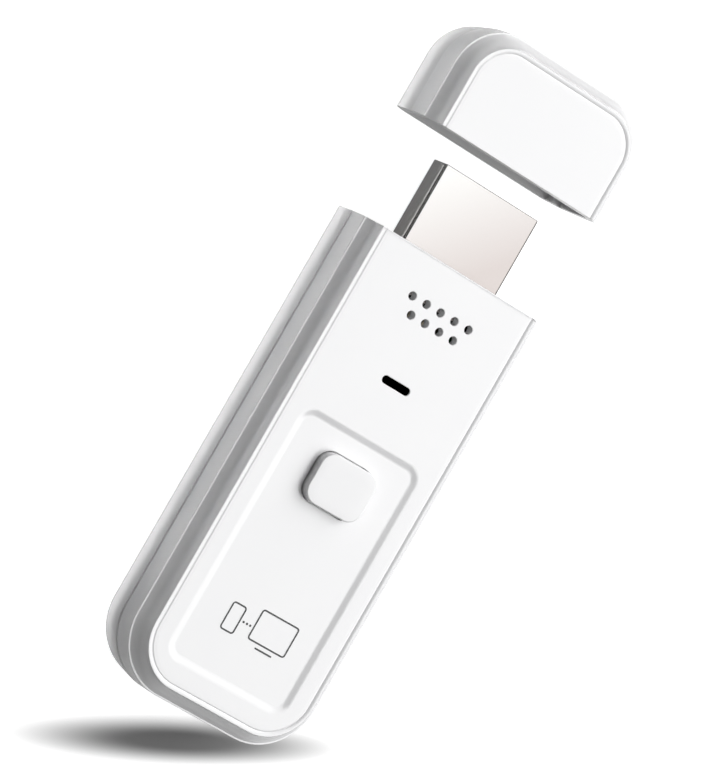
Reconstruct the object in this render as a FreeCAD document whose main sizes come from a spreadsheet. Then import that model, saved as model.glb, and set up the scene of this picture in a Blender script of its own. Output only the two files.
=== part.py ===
import FreeCAD, Part
import math
import os
import Sketcher

# Wireless display dongle: a small plastic stick with a display plug at one end, a power inlet
# at the other, a push button on its front and a pull-off cap for the plug.
#
# Millimetres. The stick lies on its flat back: +Z is its front, +Y runs along it towards the plug
# and the cap, X runs across it. The origin is the centre of the housing's back face.

SIZES = [
    # Housing
    ("housing_length", 57.0, "housing along Y, without the plug"),
    ("housing_width", 25.5, "housing along X"),
    ("housing_depth", 11.5, "back face to the top of the rim line"),
    ("corner_radius", 7.2, "plan radius of the housing's two rounded corners"),
    ("parting_height", 6.2, "height of the line between the two shells"),
    ("side_wall", 1.2, "thickness of the side walls"),
    ("end_wall", 1.2, "thickness of the walls at plug and inlet"),
    ("face_wall", 1.2, "thickness of the front face"),
    ("back_wall", 1.2, "thickness of the back"),
    # Edge section
    ("band_inset", 1.5, "how far the coved edge band runs in from the side"),
    ("band_drop", 2.1, "how far the band starts below the rim line"),
    ("cove_sag", 0.25, "hollow of the band below its chord"),
    ("rim_width", 0.33, "width of the proud rim line"),
    ("rim_height", 0.15, "height of the rim line over the face"),
    ("side_lean", 6.0, "degrees that the rear shell's side leans in, down to its round edge"),
    ("back_round", 2.6, "radius of the rear shell's back edge"),
    ("back_step", 1.2, "how far the hollow steps in at the round back edge"),
    # Joint between the shells
    ("lip_height", 0.9, "height of the front shell's lip inside the rear shell"),
    ("lip_thickness", 0.5, "thickness of that lip"),
    ("lip_clearance", 0.05, "clearance round the lip"),
    # Vent holes
    ("vent_count", 5, "holes in the row nearer the plug, one fewer in the other"),
    ("vent_diameter", 1.0, "vent hole"),
    ("vent_pitch", 2.05, "vent spacing in a row"),
    ("vent_row_gap", 1.9, "distance between the two rows"),
    ("vent_setback", 5.85, "plug end to the middle of the two rows"),
    # Light slot and pipe
    ("light_length", 3.9, "light slot along X"),
    ("light_width", 0.95, "light slot along Y"),
    ("light_setback", 14.3, "plug end to the middle of the slot"),
    ("light_gap", 0.06, "clearance between the light pipe and its slot"),
    ("light_recess", 0.15, "light pipe below the face"),
    ("light_flange", 0.7, "how far the light pipe's flange runs under the face"),
    ("light_flange_thickness", 0.6, "thickness of that flange"),
    # Recessed panel
    ("panel_length", 31.9, "recessed panel along Y"),
    ("panel_width", 17.4, "recessed panel along X"),
    ("panel_radius", 1.7, "plan radius of the panel's corners"),
    ("panel_depth", 0.25, "depth of the panel"),
    ("panel_slope", 1.05, "width of the panel's sloped edge"),
    ("panel_setback", 4.3, "inlet end to the panel"),
    # Button
    ("button_width", 7.65, "button along X"),
    ("button_length", 6.1, "button along Y"),
    ("button_radius", 1.7, "plan radius of the button's corners"),
    ("button_edge", 0.3, "bevel of the button's top edge"),
    ("button_rise", 1.0, "button top over the rim line"),
    ("button_setback", 27.1, "plug end to the middle of the button"),
    ("button_gap", 0.2, "gap round the button"),
    ("button_wall", 0.9, "wall of the hollow button"),
    ("button_flange", 0.7, "how far the button's collar runs under the face"),
    ("button_flange_thickness", 0.6, "thickness of that collar"),
    ("button_play", 0.1, "gap between collar and face"),
    ("button_post", 2.6, "diameter of the post under the button"),
    ("button_travel", 0.25, "how far the button is pressed"),
    # Cap
    ("cap_length", 13.0, "cap along Y"),
    ("cap_radius", 6.2, "plan radius of the cap's two rounded corners"),
    ("cap_distance", 12.8, "housing to cap mouth, with the cap pulled off"),
    ("cap_end_wall", 1.3, "thickness of the cap's end"),
    ("rib_setback", 2.0, "cap mouth to the grip ribs"),
    ("rib_thickness", 0.8, "thickness of a grip rib"),
    ("rib_spacing", 4.2, "spacing of the grip ribs"),
    ("rib_count", 3, "grip ribs on the front of the plug, and as many on its back"),
    ("rib_gap", 0.1, "clearance between the ribs and the plug"),
    ("side_rib_length", 4.5, "length of the ribs beside the plug"),
    # Display plug
    ("plug_height", 0.65, "middle plane of plug and board, above the middle of the depth"),
    ("hdmi_width", 13.9, "plug shell across its wide side"),
    ("hdmi_thickness", 4.45, "plug shell, front to back"),
    ("hdmi_side", 3.0, "straight part of the shell's short sides"),
    ("hdmi_bevel", 1.35, "how far each lower corner turns in"),
    ("hdmi_reach", 9.7, "plug outside the housing"),
    ("hdmi_inner_length", 3.6, "plug shell inside the end wall"),
    ("hdmi_metal", 0.3, "sheet of the plug shell"),
    ("hdmi_edge", 0.45, "round of the shell's long edges"),
    ("window_width", 2.2, "latch window in the shell's back, along X"),
    ("window_length", 1.6, "latch window along Y"),
    ("window_across", 3.1, "latch window's middle to the plug's middle line"),
    ("window_setback", 4.6, "plug's tip to the latch windows"),
    ("hdmi_gap", 0.1, "clearance of the plug in the end wall"),
    ("hdmi_core_recess", 0.4, "shell edge to the plug's core"),
    ("hdmi_core_tail", 1.0, "core behind the shell"),
    ("hdmi_slot_width", 12.2, "slot in the core, for the socket's tongue"),
    ("hdmi_slot_depth", 6.4, "depth of that slot"),
    ("hdmi_pitch", 1.0, "contact pitch in a row"),
    ("hdmi_front_contacts", 10, "contacts on the front side of the slot"),
    ("hdmi_back_contacts", 9, "contacts on the back side of the slot"),
    ("hdmi_contact_width", 0.5, "width of a contact"),
    ("hdmi_contact_thickness", 0.15, "thickness of a contact"),
    ("hdmi_contact_tail", 1.6, "contact length soldered to the board"),
    # Power inlet
    ("usb_width", 8.94, "inlet shell along X"),
    ("usb_thickness", 3.16, "inlet shell, front to back"),
    ("usb_length", 7.35, "inlet shell along Y"),
    ("usb_metal", 0.3, "sheet of the inlet shell"),
    ("usb_gap", 0.12, "clearance of the inlet in the end wall"),
    ("usb_recess", 0.2, "inlet mouth behind the housing's end"),
    ("usb_tongue_width", 6.7, "tongue along X"),
    ("usb_tongue_thickness", 0.7, "tongue, front to back"),
    ("usb_tongue_recess", 0.6, "inlet mouth to the tongue"),
    ("usb_block", 1.3, "length of the tongue's root block"),
    ("usb_contacts", 12, "contacts in a row"),
    ("usb_pitch", 0.5, "contact pitch"),
    ("usb_contact_width", 0.25, "width of a contact"),
    ("usb_contact_thickness", 0.1, "thickness of a contact"),
    ("usb_wing", 1.3, "width of the soldered wings on the inlet shell"),
    ("usb_wing_length", 3.0, "length of those wings"),
    # Board and posts
    ("board_thickness", 1.0, "circuit board"),
    ("board_margin", 0.45, "board to the side walls"),
    ("board_end_margin", 0.25, "board to the inlet's end wall, and to the plug's core"),
    ("board_tongue", 1.4, "board inside the plug's core"),
    ("board_tongue_gap", 0.2, "clearance beside that tongue"),
    ("inlet_notch_gap", 0.2, "clearance of the inlet in the board's notch"),
    ("post_diameter", 2.2, "round posts of the rear shell, under the board near the inlet"),
    ("post_inset", 3.4, "middle of posts and rests to the housing's side"),
    ("post_setback", 12.5, "inlet end to the posts"),
    ("pin_diameter", 0.9, "pins on the posts, in the board"),
    ("pin_length", 0.9, "pin above its post"),
    ("pin_gap", 0.1, "clearance round the pins"),
    ("rest_width", 1.4, "flat rests that hold the board, along X"),
    ("rest_length", 5.0, "those rests along Y"),
    ("rest_setback", 12.0, "plug end to the rests near the plug"),
    # Snaps between the shells
    ("snap_count", 3, "snap beads on each side"),
    ("snap_pitch", 15.0, "snap spacing along Y"),
    ("snap_length", 4.0, "one bead along Y"),
    ("snap_height", 0.2, "bead outside the lip"),
    ("snap_gap", 0.05, "clearance round a bead in its pocket"),
    # Push switch
    ("switch_side", 5.2, "switch along X and Y"),
    ("switch_height", 1.5, "switch base above the board"),
    ("switch_floor", 0.3, "floor of the switch well"),
    ("well_diameter", 3.8, "well in the switch base"),
    ("cover_thickness", 0.15, "steel cover of the switch"),
    ("cover_hole", 2.4, "hole in that cover"),
    ("dome_diameter", 3.4, "snap dome"),
    ("dome_crown", 1.4, "diameter of the dome's flat crown"),
    ("dome_rise", 0.25, "height of the dome"),
    ("dome_thickness", 0.08, "sheet of the dome"),
    ("plunger_diameter", 2.0, "stem of the plunger"),
    ("plunger_collar", 3.2, "collar of the plunger, under the cover"),
    ("plunger_collar_thickness", 0.4, "thickness of that collar"),
    ("plunger_rise", 0.5, "stem above the cover"),
    ("plunger_play", 0.05, "collar to cover, and stem end to dome when pressed"),
    # Chips and their cooling, on the back of the board
    ("processor_side", 12.0, "processor along X and Y"),
    ("processor_height", 1.1, "processor"),
    ("processor_setback", 20.5, "plug end to the processor's middle"),
    ("pad_side", 11.0, "thermal pad along X and Y"),
    ("pad_thickness", 0.5, "thermal pad"),
    ("sink_width", 15.0, "heat sink along X"),
    ("sink_length", 18.0, "heat sink along Y"),
    ("sink_base", 0.8, "plate of the heat sink"),
    ("sink_height", 2.2, "heat sink with its fins"),
    ("fin_count", 7, "fins"),
    ("fin_thickness", 0.8, "one fin"),
    ("memory_width", 8.0, "memory along X"),
    ("memory_length", 11.0, "memory along Y"),
    ("memory_height", 1.0, "memory"),
    ("memory_setback", 19.0, "inlet end to the memory's middle"),
    ("flash_width", 5.2, "program store along X"),
    ("flash_length", 6.0, "program store along Y"),
    ("flash_height", 0.9, "program store"),
    ("flash_across", 7.3, "program store's middle along X"),
    ("flash_setback", 18.5, "inlet end to the program store's middle"),
    # Radio, on the front of the board
    ("radio_width", 12.0, "radio module along X"),
    ("radio_length", 11.0, "radio module along Y"),
    ("radio_board", 0.6, "radio module's board"),
    ("radio_setback", 0.425, "middle between inlet and switch to the radio module's middle"),
    ("shield_inset", 0.5, "shield's edge in from the module's"),
    ("shield_height", 1.6, "shield above the module's board"),
    ("shield_sheet", 0.15, "sheet of the shield"),
    ("antenna_width", 1.6, "antenna along X"),
    ("antenna_length", 5.0, "antenna along Y"),
    ("antenna_height", 1.2, "antenna"),
    ("antenna_across", 7.4, "antenna's middle to the board's middle line"),
    ("antenna_setback", 7.2, "inlet end to the antenna's middle"),
    # Small parts
    ("led_width", 1.6, "lamp along X"),
    ("led_length", 0.8, "lamp along Y"),
    ("led_height", 0.6, "lamp"),
    ("led_air", 0.2, "lamp to light pipe"),
    ("crystal_width", 3.2, "crystal along X"),
    ("crystal_length", 2.5, "crystal along Y"),
    ("crystal_height", 0.7, "crystal"),
    ("crystal_across", 4.8, "crystal's middle to the board's middle line"),
    ("crystal_setback", 18.0, "plug end to the crystal's middle"),
    ("inductor_width", 3.0, "inductor along X"),
    ("inductor_length", 3.0, "inductor along Y"),
    ("inductor_height", 1.5, "inductor"),
    ("inductor_across", 7.6, "inductor's middle to the board's middle line"),
    ("inductor_setback", 26.7, "plug end to the inductor's middle"),
    ("regulator_width", 2.9, "regulator along X"),
    ("regulator_length", 1.6, "regulator along Y"),
    ("regulator_height", 1.0, "regulator"),
    ("regulator_across", 7.6, "regulator's middle to the board's middle line"),
    ("regulator_setback", 30.7, "plug end to the regulator's middle"),
    ("surge_width", 2.5, "surge array along X"),
    ("surge_length", 1.2, "surge array along Y"),
    ("surge_height", 0.6, "surge array"),
    ("surge_across", 3.0, "surge array's middle to the board's middle line"),
    ("surge_setback", 9.3, "plug end to the surge array's middle"),
    ("capacitor_width", 1.6, "capacitor along X"),
    ("capacitor_length", 0.8, "capacitor along Y"),
    ("capacitor_height", 0.8, "capacitor"),
    ("capacitor_across", 7.6, "capacitor's middle to the board's middle line"),
    ("capacitor_setback", 23.3, "plug end to the rear capacitors"),
    ("capacitor_pitch", 1.5, "capacitor spacing along Y"),
    ("capacitor_rows", 4, "capacitors on each side"),
    ("resistor_width", 1.0, "resistor along X"),
    ("resistor_length", 0.5, "resistor along Y"),
    ("resistor_height", 0.35, "resistor"),
    ("resistor_across", 6.3, "resistor's middle to the board's middle line"),
    ("resistor_setback", 11.9, "plug end to the rear resistors"),
    ("resistor_pitch", 1.2, "resistor spacing along Y"),
    ("resistor_rows", 3, "resistors on each side"),
    # Tools of the construction
    ("overrun", 1.0, "how far a cut runs past the face that it opens"),
]

HALF_WIDTH = "dim.housing_width / 2"
PLUG_END = "dim.housing_length / 2"
INLET_END = "-dim.housing_length / 2"
HOUSING_CORNER = "dim.corner_radius"
CAP_CORNER = "dim.cap_radius"
CAP_MOUTH = "(dim.housing_length / 2 + dim.cap_distance)"
CAP_END = "(dim.housing_length / 2 + dim.cap_distance + dim.cap_length)"
TOP = "dim.housing_depth"
FACE = "(dim.housing_depth - dim.rim_height)"
CEILING = "(dim.housing_depth - dim.rim_height - dim.face_wall)"
CREASE = "(dim.housing_depth - dim.band_drop)"
PARTING = "dim.parting_height"
PLANE = "(dim.housing_depth / 2 + dim.plug_height)"
BOARD_TOP = f"({PLANE} + dim.board_thickness / 2)"
BOARD_BACK = f"({PLANE} - dim.board_thickness / 2)"
BUTTON_PLACE = "(dim.housing_length / 2 - dim.button_setback)"
LIGHT_PLACE = "(dim.housing_length / 2 - dim.light_setback)"
PLUG_TIP = "(dim.housing_length / 2 + dim.hdmi_reach)"
SHELL_BACK = "(dim.housing_length / 2 - dim.end_wall - dim.hdmi_inner_length)"
CORE_BACK = "(dim.housing_length / 2 - dim.end_wall - dim.hdmi_inner_length - dim.hdmi_core_tail)"
CORE_FRONT = "(dim.housing_length / 2 + dim.hdmi_reach - dim.hdmi_core_recess)"
COVER_LOW = f"({BOARD_TOP} + dim.switch_height)"
PLUNGER_TOP = f"({COVER_LOW} + dim.cover_thickness + dim.plunger_rise)"
INLET_MOUTH = "(dim.usb_recess - dim.housing_length / 2)"
INLET_BACK = "(dim.usb_recess + dim.usb_length - dim.housing_length / 2)"
RADIO_PLACE = f"(({INLET_BACK} + {BUTTON_PLACE} - dim.switch_side / 2) / 2 - dim.radio_setback)"
POST_ROW = f"({INLET_END} + dim.post_setback)"
PLUG_ROW = f"({PLUG_END} - dim.rest_setback)"
POST_SIDES = (f"(dim.post_inset - {HALF_WIDTH})", f"({HALF_WIDTH} - dim.post_inset)")

SAME_PLACE = 1e-5  # places nearer than this are the same

doc = FreeCAD.newDocument("display_dongle")
dim = doc.addObject("Spreadsheet::Sheet", "dim")
for row, (alias, size, meaning) in enumerate(SIZES, start=1):
    dim.set(f"A{row}", meaning)
    dim.set(f"B{row}", str(size))
    dim.setAlias(f"B{row}", alias)
doc.recompute()

parts = []


# Values and vectors

def value(expression):
    """The number that an expression over the sheet gives."""
    return float(dim.evalExpression(expression))


def point(x, y, z=0.0):
    return FreeCAD.Vector(x, y, z)


def keep(piece):
    """Puts a finished sub-part on the list of files to write."""
    parts.append(piece)
    return piece


# Sketches

def new_body(label):
    body = doc.addObject("PartDesign::Body", label)
    body.Label = label
    return keep(body)


def new_sketch(body, name, plane="XY_Plane", offset="0"):
    """A sketch on one of the body's own origin planes, moved along the plane's normal."""
    sketch = body.newObject("Sketcher::SketchObject", name)
    origin_plane = next(item for item in body.Origin.OriginFeatures if item.Role == plane)
    sketch.AttachmentSupport = [(origin_plane, "")]
    sketch.MapMode = "FlatFace"
    sketch.setExpression("AttachmentOffset.Base.z", offset)
    return sketch


def bind(sketch, kind, *place_and_expression):
    """Adds a dimension whose value follows an expression."""
    *place, expression = place_and_expression
    number = sketch.addConstraint(Sketcher.Constraint(kind, *place, value(expression)))
    sketch.setExpression(f"Constraints[{number}]", expression)


def pin_point(sketch, line, end, x, y):
    """Holds one end of a line at a place given by two expressions."""
    bind(sketch, "DistanceX", -1, 1, line, end, x)
    bind(sketch, "DistanceY", -1, 1, line, end, y)


def add_outline(sketch, corners, arcs=None, closed=True):
    """Lines and arcs through corners, each given as a pair of expressions.

    arcs maps the number of a side to the expression of its radius, with a minus in front for a
    centre on the right of the way along the outline.
    """
    arcs = arcs or {}
    places = [point(value(x), value(y)) for x, y in corners]
    sides = len(corners) if closed else len(corners) - 1
    ends = []
    for side in range(sides):
        first, last = places[side], places[(side + 1) % len(corners)]
        if side in arcs:
            expression = arcs[side].lstrip("-")
            turn = -1 if arcs[side].startswith("-") else 1
            ends.append(add_arc(sketch, first, last, value(expression), turn))
            bind(sketch, "Radius", ends[-1][0], expression)
        else:
            ends.append((sketch.addGeometry(Part.LineSegment(first, last)), 1, 2))
    for side, (curve, begin, _) in enumerate(ends):
        if closed or side > 0:
            before, _, finish = ends[side - 1]
            sketch.addConstraint(Sketcher.Constraint("Coincident", before, finish, curve, begin))
        pin_point(sketch, curve, begin, *corners[side])
    if not closed:
        curve, _, finish = ends[-1]
        pin_point(sketch, curve, finish, *corners[-1])


def add_arc(sketch, first, last, radius, turn):
    """An arc of up to half a circle; returns it with the numbers of its first and last end."""
    chord = last - first
    rise = math.sqrt(max(radius ** 2 - (chord.Length / 2) ** 2, 0.0))
    left = point(-chord.y, chord.x).normalize()
    centre = (first + last) * 0.5 + left * (rise * turn)
    angles = [math.atan2(place.y - centre.y, place.x - centre.x) for place in (first, last)]
    if turn < 0:
        angles.reverse()
    if angles[1] < angles[0]:
        angles[1] += 2 * math.pi
    circle = Part.Circle(centre, point(0, 0, 1), radius)
    curve = sketch.addGeometry(Part.ArcOfCircle(circle, *angles))
    return (curve, 1, 2) if turn > 0 else (curve, 2, 1)


def box_corners(left, right, low, high):
    return [(left, low), (right, low), (right, high), (left, high)]


def around(middle, size):
    """The two expressions half a size each side of a middle."""
    return f"({middle} - {size} / 2)", f"({middle} + {size} / 2)"


def grown(size, extra):
    """A size with an extra at both of its ends."""
    return f"({size} + 2 * {extra})"


def add_box(sketch, across, along):
    """A sharp rectangle; across and along are pairs of low and high expressions."""
    add_outline(sketch, box_corners(*across, *along))


def add_round_box(sketch, across, along, radius):
    """A rectangle with four round corners."""
    (left, right), (low, high) = across, along
    corners = [
        (f"({left} + {radius})", low), (f"({right} - {radius})", low),
        (right, f"({low} + {radius})"), (right, f"({high} - {radius})"),
        (f"({right} - {radius})", high), (f"({left} + {radius})", high),
        (left, f"({high} - {radius})"), (left, f"({low} + {radius})"),
    ]
    add_outline(sketch, corners, {side: radius for side in (1, 3, 5, 7)})


def add_pill(sketch, across, along):
    """A slot along the sketch's first axis whose ends are half circles."""
    (left, right), (low, high) = across, along
    bend = f"(({high} - {low}) / 2)"
    middle = f"(({high} + {low}) / 2)"
    corners = [
        (f"({left} + {bend})", low), (f"({right} - {bend})", low), (right, middle),
        (f"({right} - {bend})", high), (f"({left} + {bend})", high), (left, middle),
    ]
    add_outline(sketch, corners, {side: bend for side in (1, 2, 4, 5)})


def add_circle(sketch, x, y, diameter):
    circle = Part.Circle(point(value(x), value(y)), point(0, 0, 1), value(diameter) / 2)
    curve = sketch.addGeometry(circle)
    bind(sketch, "Diameter", curve, diameter)
    pin_point(sketch, curve, 3, x, y)


def add_stick_outline(sketch, inset, square_end, round_end, closed=True, corner=HOUSING_CORNER):
    """The stick's plan, drawn in by an inset: one square end and one end with round corners."""
    half = f"({HALF_WIDTH} - {inset})"
    radius = f"({corner} - {inset})"
    towards = 1 if value(square_end) > value(round_end) else -1
    bend = f"({round_end} + {radius})" if towards > 0 else f"({round_end} - {radius})"
    corners = [
        (f"-{half}", square_end), (f"-{half}", bend), (f"-({half} - {radius})", round_end),
        (f"({half} - {radius})", round_end), (half, bend), (half, square_end),
    ]
    turned = radius if towards > 0 else f"-{radius}"
    add_outline(sketch, corners, {1: turned, 3: turned}, closed)


# Features

def pad(body, sketch, length, upward=True):
    """Adds the sketch's outline, along the sketch's normal where upward is true."""
    feature = body.newObject("PartDesign::Pad", sketch.Name + "_pad")
    feature.Profile = sketch
    feature.setExpression("Length", length)
    feature.Reversed = not upward
    doc.recompute()
    return feature


def pocket(body, sketch, length, upward=False):
    """Cuts the sketch's outline away, along the sketch's normal where upward is true."""
    before = body.Shape.Volume if not body.Shape.isNull() else 0.0
    feature = body.newObject("PartDesign::Pocket", sketch.Name + "_pocket")
    feature.Profile = sketch
    feature.setExpression("Length", length)
    feature.Reversed = upward
    doc.recompute()
    if not body.Shape.Volume < before:
        raise RuntimeError(f"{feature.Name} cuts nothing")
    return feature


def repeat_along(body, feature, sketch, count, pitch, axis="H_Axis", backward=False):
    """Repeats a feature along an axis of its sketch, the horizontal one unless another is named."""
    row = body.newObject("PartDesign::LinearPattern", feature.Name + "_row")
    row.Originals = [feature]
    row.Direction = (sketch, [axis])
    row.Reversed = backward
    row.setExpression("Occurrences", count)
    row.setExpression("Length", f"({count} - 1) * {pitch}")
    body.Tip = row
    return row


def dress_edges(body, kind, size, chosen):
    """Rounds or chamfers the tip's edges that the test chosen picks."""
    doc.recompute()
    base = body.Tip
    names = [f"Edge{number}" for number, edge in enumerate(base.Shape.Edges, 1) if chosen(edge)]
    feature = body.newObject(f"PartDesign::{kind}", f"{body.Name}_{kind.lower()}_{len(body.Group)}")
    feature.Base = (base, names)
    feature.setExpression("Radius" if kind == "Fillet" else "Size", size)
    return feature


def lies_at_height(height):
    """A test for edges that lie wholly at one height."""
    level = value(height)
    return lambda edge: abs(edge.BoundBox.ZMin - level) + edge.BoundBox.ZLength < SAME_PLACE


def block(label, corner, size):
    """A plain box; corner and size are triples of expressions."""
    box = doc.addObject("Part::Box", label)
    for name, expression in zip(("Length", "Width", "Height"), size):
        box.setExpression(name, expression)
    for axis, expression in zip("xyz", corner):
        box.setExpression(f"Placement.Base.{axis}", expression)
    return box


def group(label, solids):
    """Several separate solids in one sub-part."""
    compound = doc.addObject("Part::Compound", label)
    compound.Label = label
    compound.Links = solids
    return keep(compound)


# Edge section that housing and cap share

def sweep_cut(body, name, corners, arcs, square_end, round_end, corner):
    """Cuts a section away along the three closed sides of the plan.

    The section is drawn in X and Z at the left side, just past the square end.
    """
    towards = 1 if value(square_end) > value(round_end) else -1
    start = f"({square_end} + {towards} * dim.overrun)"
    path = new_sketch(body, name + "_path")
    add_stick_outline(path, "0", start, round_end, False, corner)
    section = new_sketch(body, name + "_section", "XZ_Plane", f"-{start}")
    add_outline(section, corners, arcs)
    before = body.Shape.Volume
    cut = body.newObject("PartDesign::SubtractivePipe", name)
    cut.Profile = section
    cut.Spine = path
    doc.recompute()
    if not cut.Shape.Volume < before:
        raise RuntimeError(f"{name} cuts nothing")
    return cut


def cut_front_band(body, square_end, round_end, corner=HOUSING_CORNER):
    """The coved band along the front edge, which leaves the rim line proud."""
    outside = f"-({HALF_WIDTH} + dim.overrun)"
    above = f"({TOP} + dim.overrun)"
    rim = f"-({HALF_WIDTH} - dim.band_inset)"
    chord = "((dim.band_inset ^ 2 + dim.band_drop ^ 2) / 4)"
    cove = f"(({chord} + dim.cove_sag ^ 2) / (2 * dim.cove_sag))"
    corners = [(f"-{HALF_WIDTH}", CREASE), (rim, TOP), (rim, above), (outside, above), (outside, CREASE)]
    sweep_cut(body, "band", corners, {0: cove}, square_end, round_end, corner)


def cut_back_edge(body, square_end, round_end, corner=HOUSING_CORNER):
    """The rear side: it leans in below the parting line and turns under in a round edge."""
    turn_z = "(dim.back_round * (1 - sin(dim.side_lean)))"
    turn_x = f"(({PARTING} - {turn_z}) * tan(dim.side_lean) - {HALF_WIDTH})"
    foot = f"({turn_x} + dim.back_round * cos(dim.side_lean))"
    outside = f"-({HALF_WIDTH} + dim.overrun)"
    below = "-dim.overrun"
    corners = [
        (f"-{HALF_WIDTH}", PARTING), (turn_x, turn_z), (foot, "0"),
        (foot, below), (outside, below), (outside, PARTING),
    ]
    sweep_cut(body, "back_edge", corners, {1: "dim.back_round"}, square_end, round_end, corner)


def sink_face(body, square_end, round_end, corner=HOUSING_CORNER):
    """Lowers the face inside the rim line."""
    towards = 1 if value(square_end) > value(round_end) else -1
    face = new_sketch(body, "face", offset=TOP)
    start = f"({square_end} + {towards} * dim.overrun)"
    add_stick_outline(face, "(dim.band_inset + dim.rim_width)", start, shifted(round_end, towards),
                      corner=corner)
    pocket(body, face, "dim.rim_height")


def shifted(round_end, towards, inset="(dim.band_inset + dim.rim_width)"):
    """The round end's place, drawn in by an inset."""
    return f"({round_end} + {towards} * {inset})"


def hollow(body, name, inset, low, high, square_end, round_end, end_inset, corner=HOUSING_CORNER):
    """One level of the space inside a shell."""
    towards = 1 if value(square_end) > value(round_end) else -1
    room = new_sketch(body, name, offset=low)
    add_stick_outline(room, inset, square_end, shifted(round_end, towards, end_inset), corner=corner)
    pocket(body, room, f"({high} - {low})", upward=True)


# Housing

def cut_plug_opening(body):
    opening = new_sketch(body, "plug_opening", "XZ_Plane", f"-{PLUG_END}")
    add_outline(opening, plug_corners("dim.hdmi_gap"))
    pocket(body, opening, "(dim.end_wall + dim.overrun)", upward=True)


def cut_inlet_opening(body):
    opening = new_sketch(body, "inlet_opening", "XZ_Plane", f"-({INLET_END})")
    across = around("0", grown("dim.usb_width", "dim.usb_gap"))
    add_pill(opening, across, around(PLANE, grown("dim.usb_thickness", "dim.usb_gap")))
    pocket(body, opening, "(dim.end_wall + dim.overrun)")


def add_post_circles(sketch, diameter):
    """A circle at the axis of each post."""
    for x in POST_SIDES:
        add_circle(sketch, x, POST_ROW, diameter)


def add_rest_boxes(sketch, row):
    """The outlines of two flat rests, side by side in a row."""
    for x in POST_SIDES:
        add_box(sketch, around(x, "dim.rest_width"), around(row, "dim.rest_length"))


def snap_row(body, name, outside, low, high, extra, cut=False):
    """The snap beads along both sides, or their pockets, as wedges whose edge lies outside the lip."""
    lip = f"({HALF_WIDTH} - dim.side_wall + dim.lip_thickness)"
    start = f"(-(dim.snap_count - 1) * dim.snap_pitch / 2 - dim.snap_length / 2 - {extra})"
    section = new_sketch(body, name, "XZ_Plane", f"-{start}")
    for side in ("-", ""):
        corners = [(f"{side}{lip}", low), (f"{side}({lip} + {outside})", f"(({low} + {high}) / 2)"),
                   (f"{side}{lip}", high)]
        add_outline(section, corners)
    length = grown("dim.snap_length", extra)
    first = pocket(body, section, length) if cut else pad(body, section, length, upward=False)
    repeat_along(body, first, section, "dim.snap_count", "dim.snap_pitch", "N_Axis", backward=True)


def build_front_shell():
    body = new_body("front_shell")
    plan = new_sketch(body, "front_plan", offset=PARTING)
    add_stick_outline(plan, "0", PLUG_END, INLET_END)
    pad(body, plan, f"({TOP} - {PARTING})")
    cut_front_band(body, PLUG_END, INLET_END)
    sink_face(body, PLUG_END, INLET_END)
    inner_end = f"({PLUG_END} - dim.end_wall)"
    hollow(body, "front_room", "dim.side_wall", PARTING, CREASE, inner_end, INLET_END, "dim.end_wall")
    hollow(body, "front_upper_room", "(dim.side_wall + dim.band_inset)", CREASE, CEILING, inner_end,
           INLET_END, "(dim.end_wall + dim.band_inset)")

    lip = new_sketch(body, "lip", offset=PARTING)
    add_stick_outline(lip, "(dim.side_wall - dim.lip_thickness)", f"({inner_end} + dim.lip_thickness)",
                      shifted(INLET_END, 1, "(dim.end_wall - dim.lip_thickness)"))
    add_stick_outline(lip, "dim.side_wall", inner_end, shifted(INLET_END, 1, "dim.end_wall"))
    pad(body, lip, "dim.lip_height", upward=False)

    snap_row(body, "snap_beads", "dim.snap_height", f"({PARTING} - dim.lip_height)", PARTING, "0")

    rests = new_sketch(body, "front_rests", offset=BOARD_TOP)
    add_rest_boxes(rests, PLUG_ROW)
    add_rest_boxes(rests, POST_ROW)
    pad(body, rests, f"({CEILING} - {BOARD_TOP} + dim.face_wall / 2)")

    cut_panel(body)
    cut_vents(body)
    slot = new_sketch(body, "light_slot", offset=FACE)
    add_pill(slot, around("0", "dim.light_length"), around(LIGHT_PLACE, "dim.light_width"))
    pocket(body, slot, "(dim.face_wall + dim.overrun)")
    hole = new_sketch(body, "button_opening", offset=FACE)
    add_round_box(hole, around("0", grown("dim.button_width", "dim.button_gap")),
                  around(BUTTON_PLACE, grown("dim.button_length", "dim.button_gap")),
                  "(dim.button_radius + dim.button_gap)")
    pocket(body, hole, "(dim.face_wall + dim.overrun)")
    cut_plug_opening(body)
    cut_inlet_opening(body)


def cut_panel(body):
    """The recessed panel round the button, with its sloped edge."""
    sketches = []
    low_end = f"({INLET_END} + dim.panel_setback)"
    for name, level, inset in (("panel_rim", FACE, "0"),
                               ("panel_floor", f"({FACE} - dim.panel_depth)", "dim.panel_slope")):
        outline = new_sketch(body, name, offset=level)
        add_round_box(outline, around("0", f"(dim.panel_width - 2 * {inset})"),
                      (f"({low_end} + {inset})", f"({low_end} + dim.panel_length - {inset})"),
                      "dim.panel_radius")
        sketches.append(outline)
    before = body.Shape.Volume
    recess = body.newObject("PartDesign::SubtractiveLoft", "panel")
    recess.Profile = sketches[0]
    recess.Sections = [sketches[1]]
    recess.Ruled = True
    doc.recompute()
    if not recess.Shape.Volume < before:
        raise RuntimeError("the panel cuts nothing")


def cut_vents(body):
    """Two staggered rows of holes."""
    middle = f"({PLUG_END} - dim.vent_setback)"
    for name, side, count in (("vent", "+", "dim.vent_count"), ("near_vent", "-", "(dim.vent_count - 1)")):
        hole = new_sketch(body, name, offset=FACE)
        add_circle(hole, f"(-({count} - 1) * dim.vent_pitch / 2)", f"({middle} {side} dim.vent_row_gap / 2)",
                   "dim.vent_diameter")
        cut = pocket(body, hole, "(dim.face_wall + dim.overrun)")
        repeat_along(body, cut, hole, count, "dim.vent_pitch")


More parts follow.
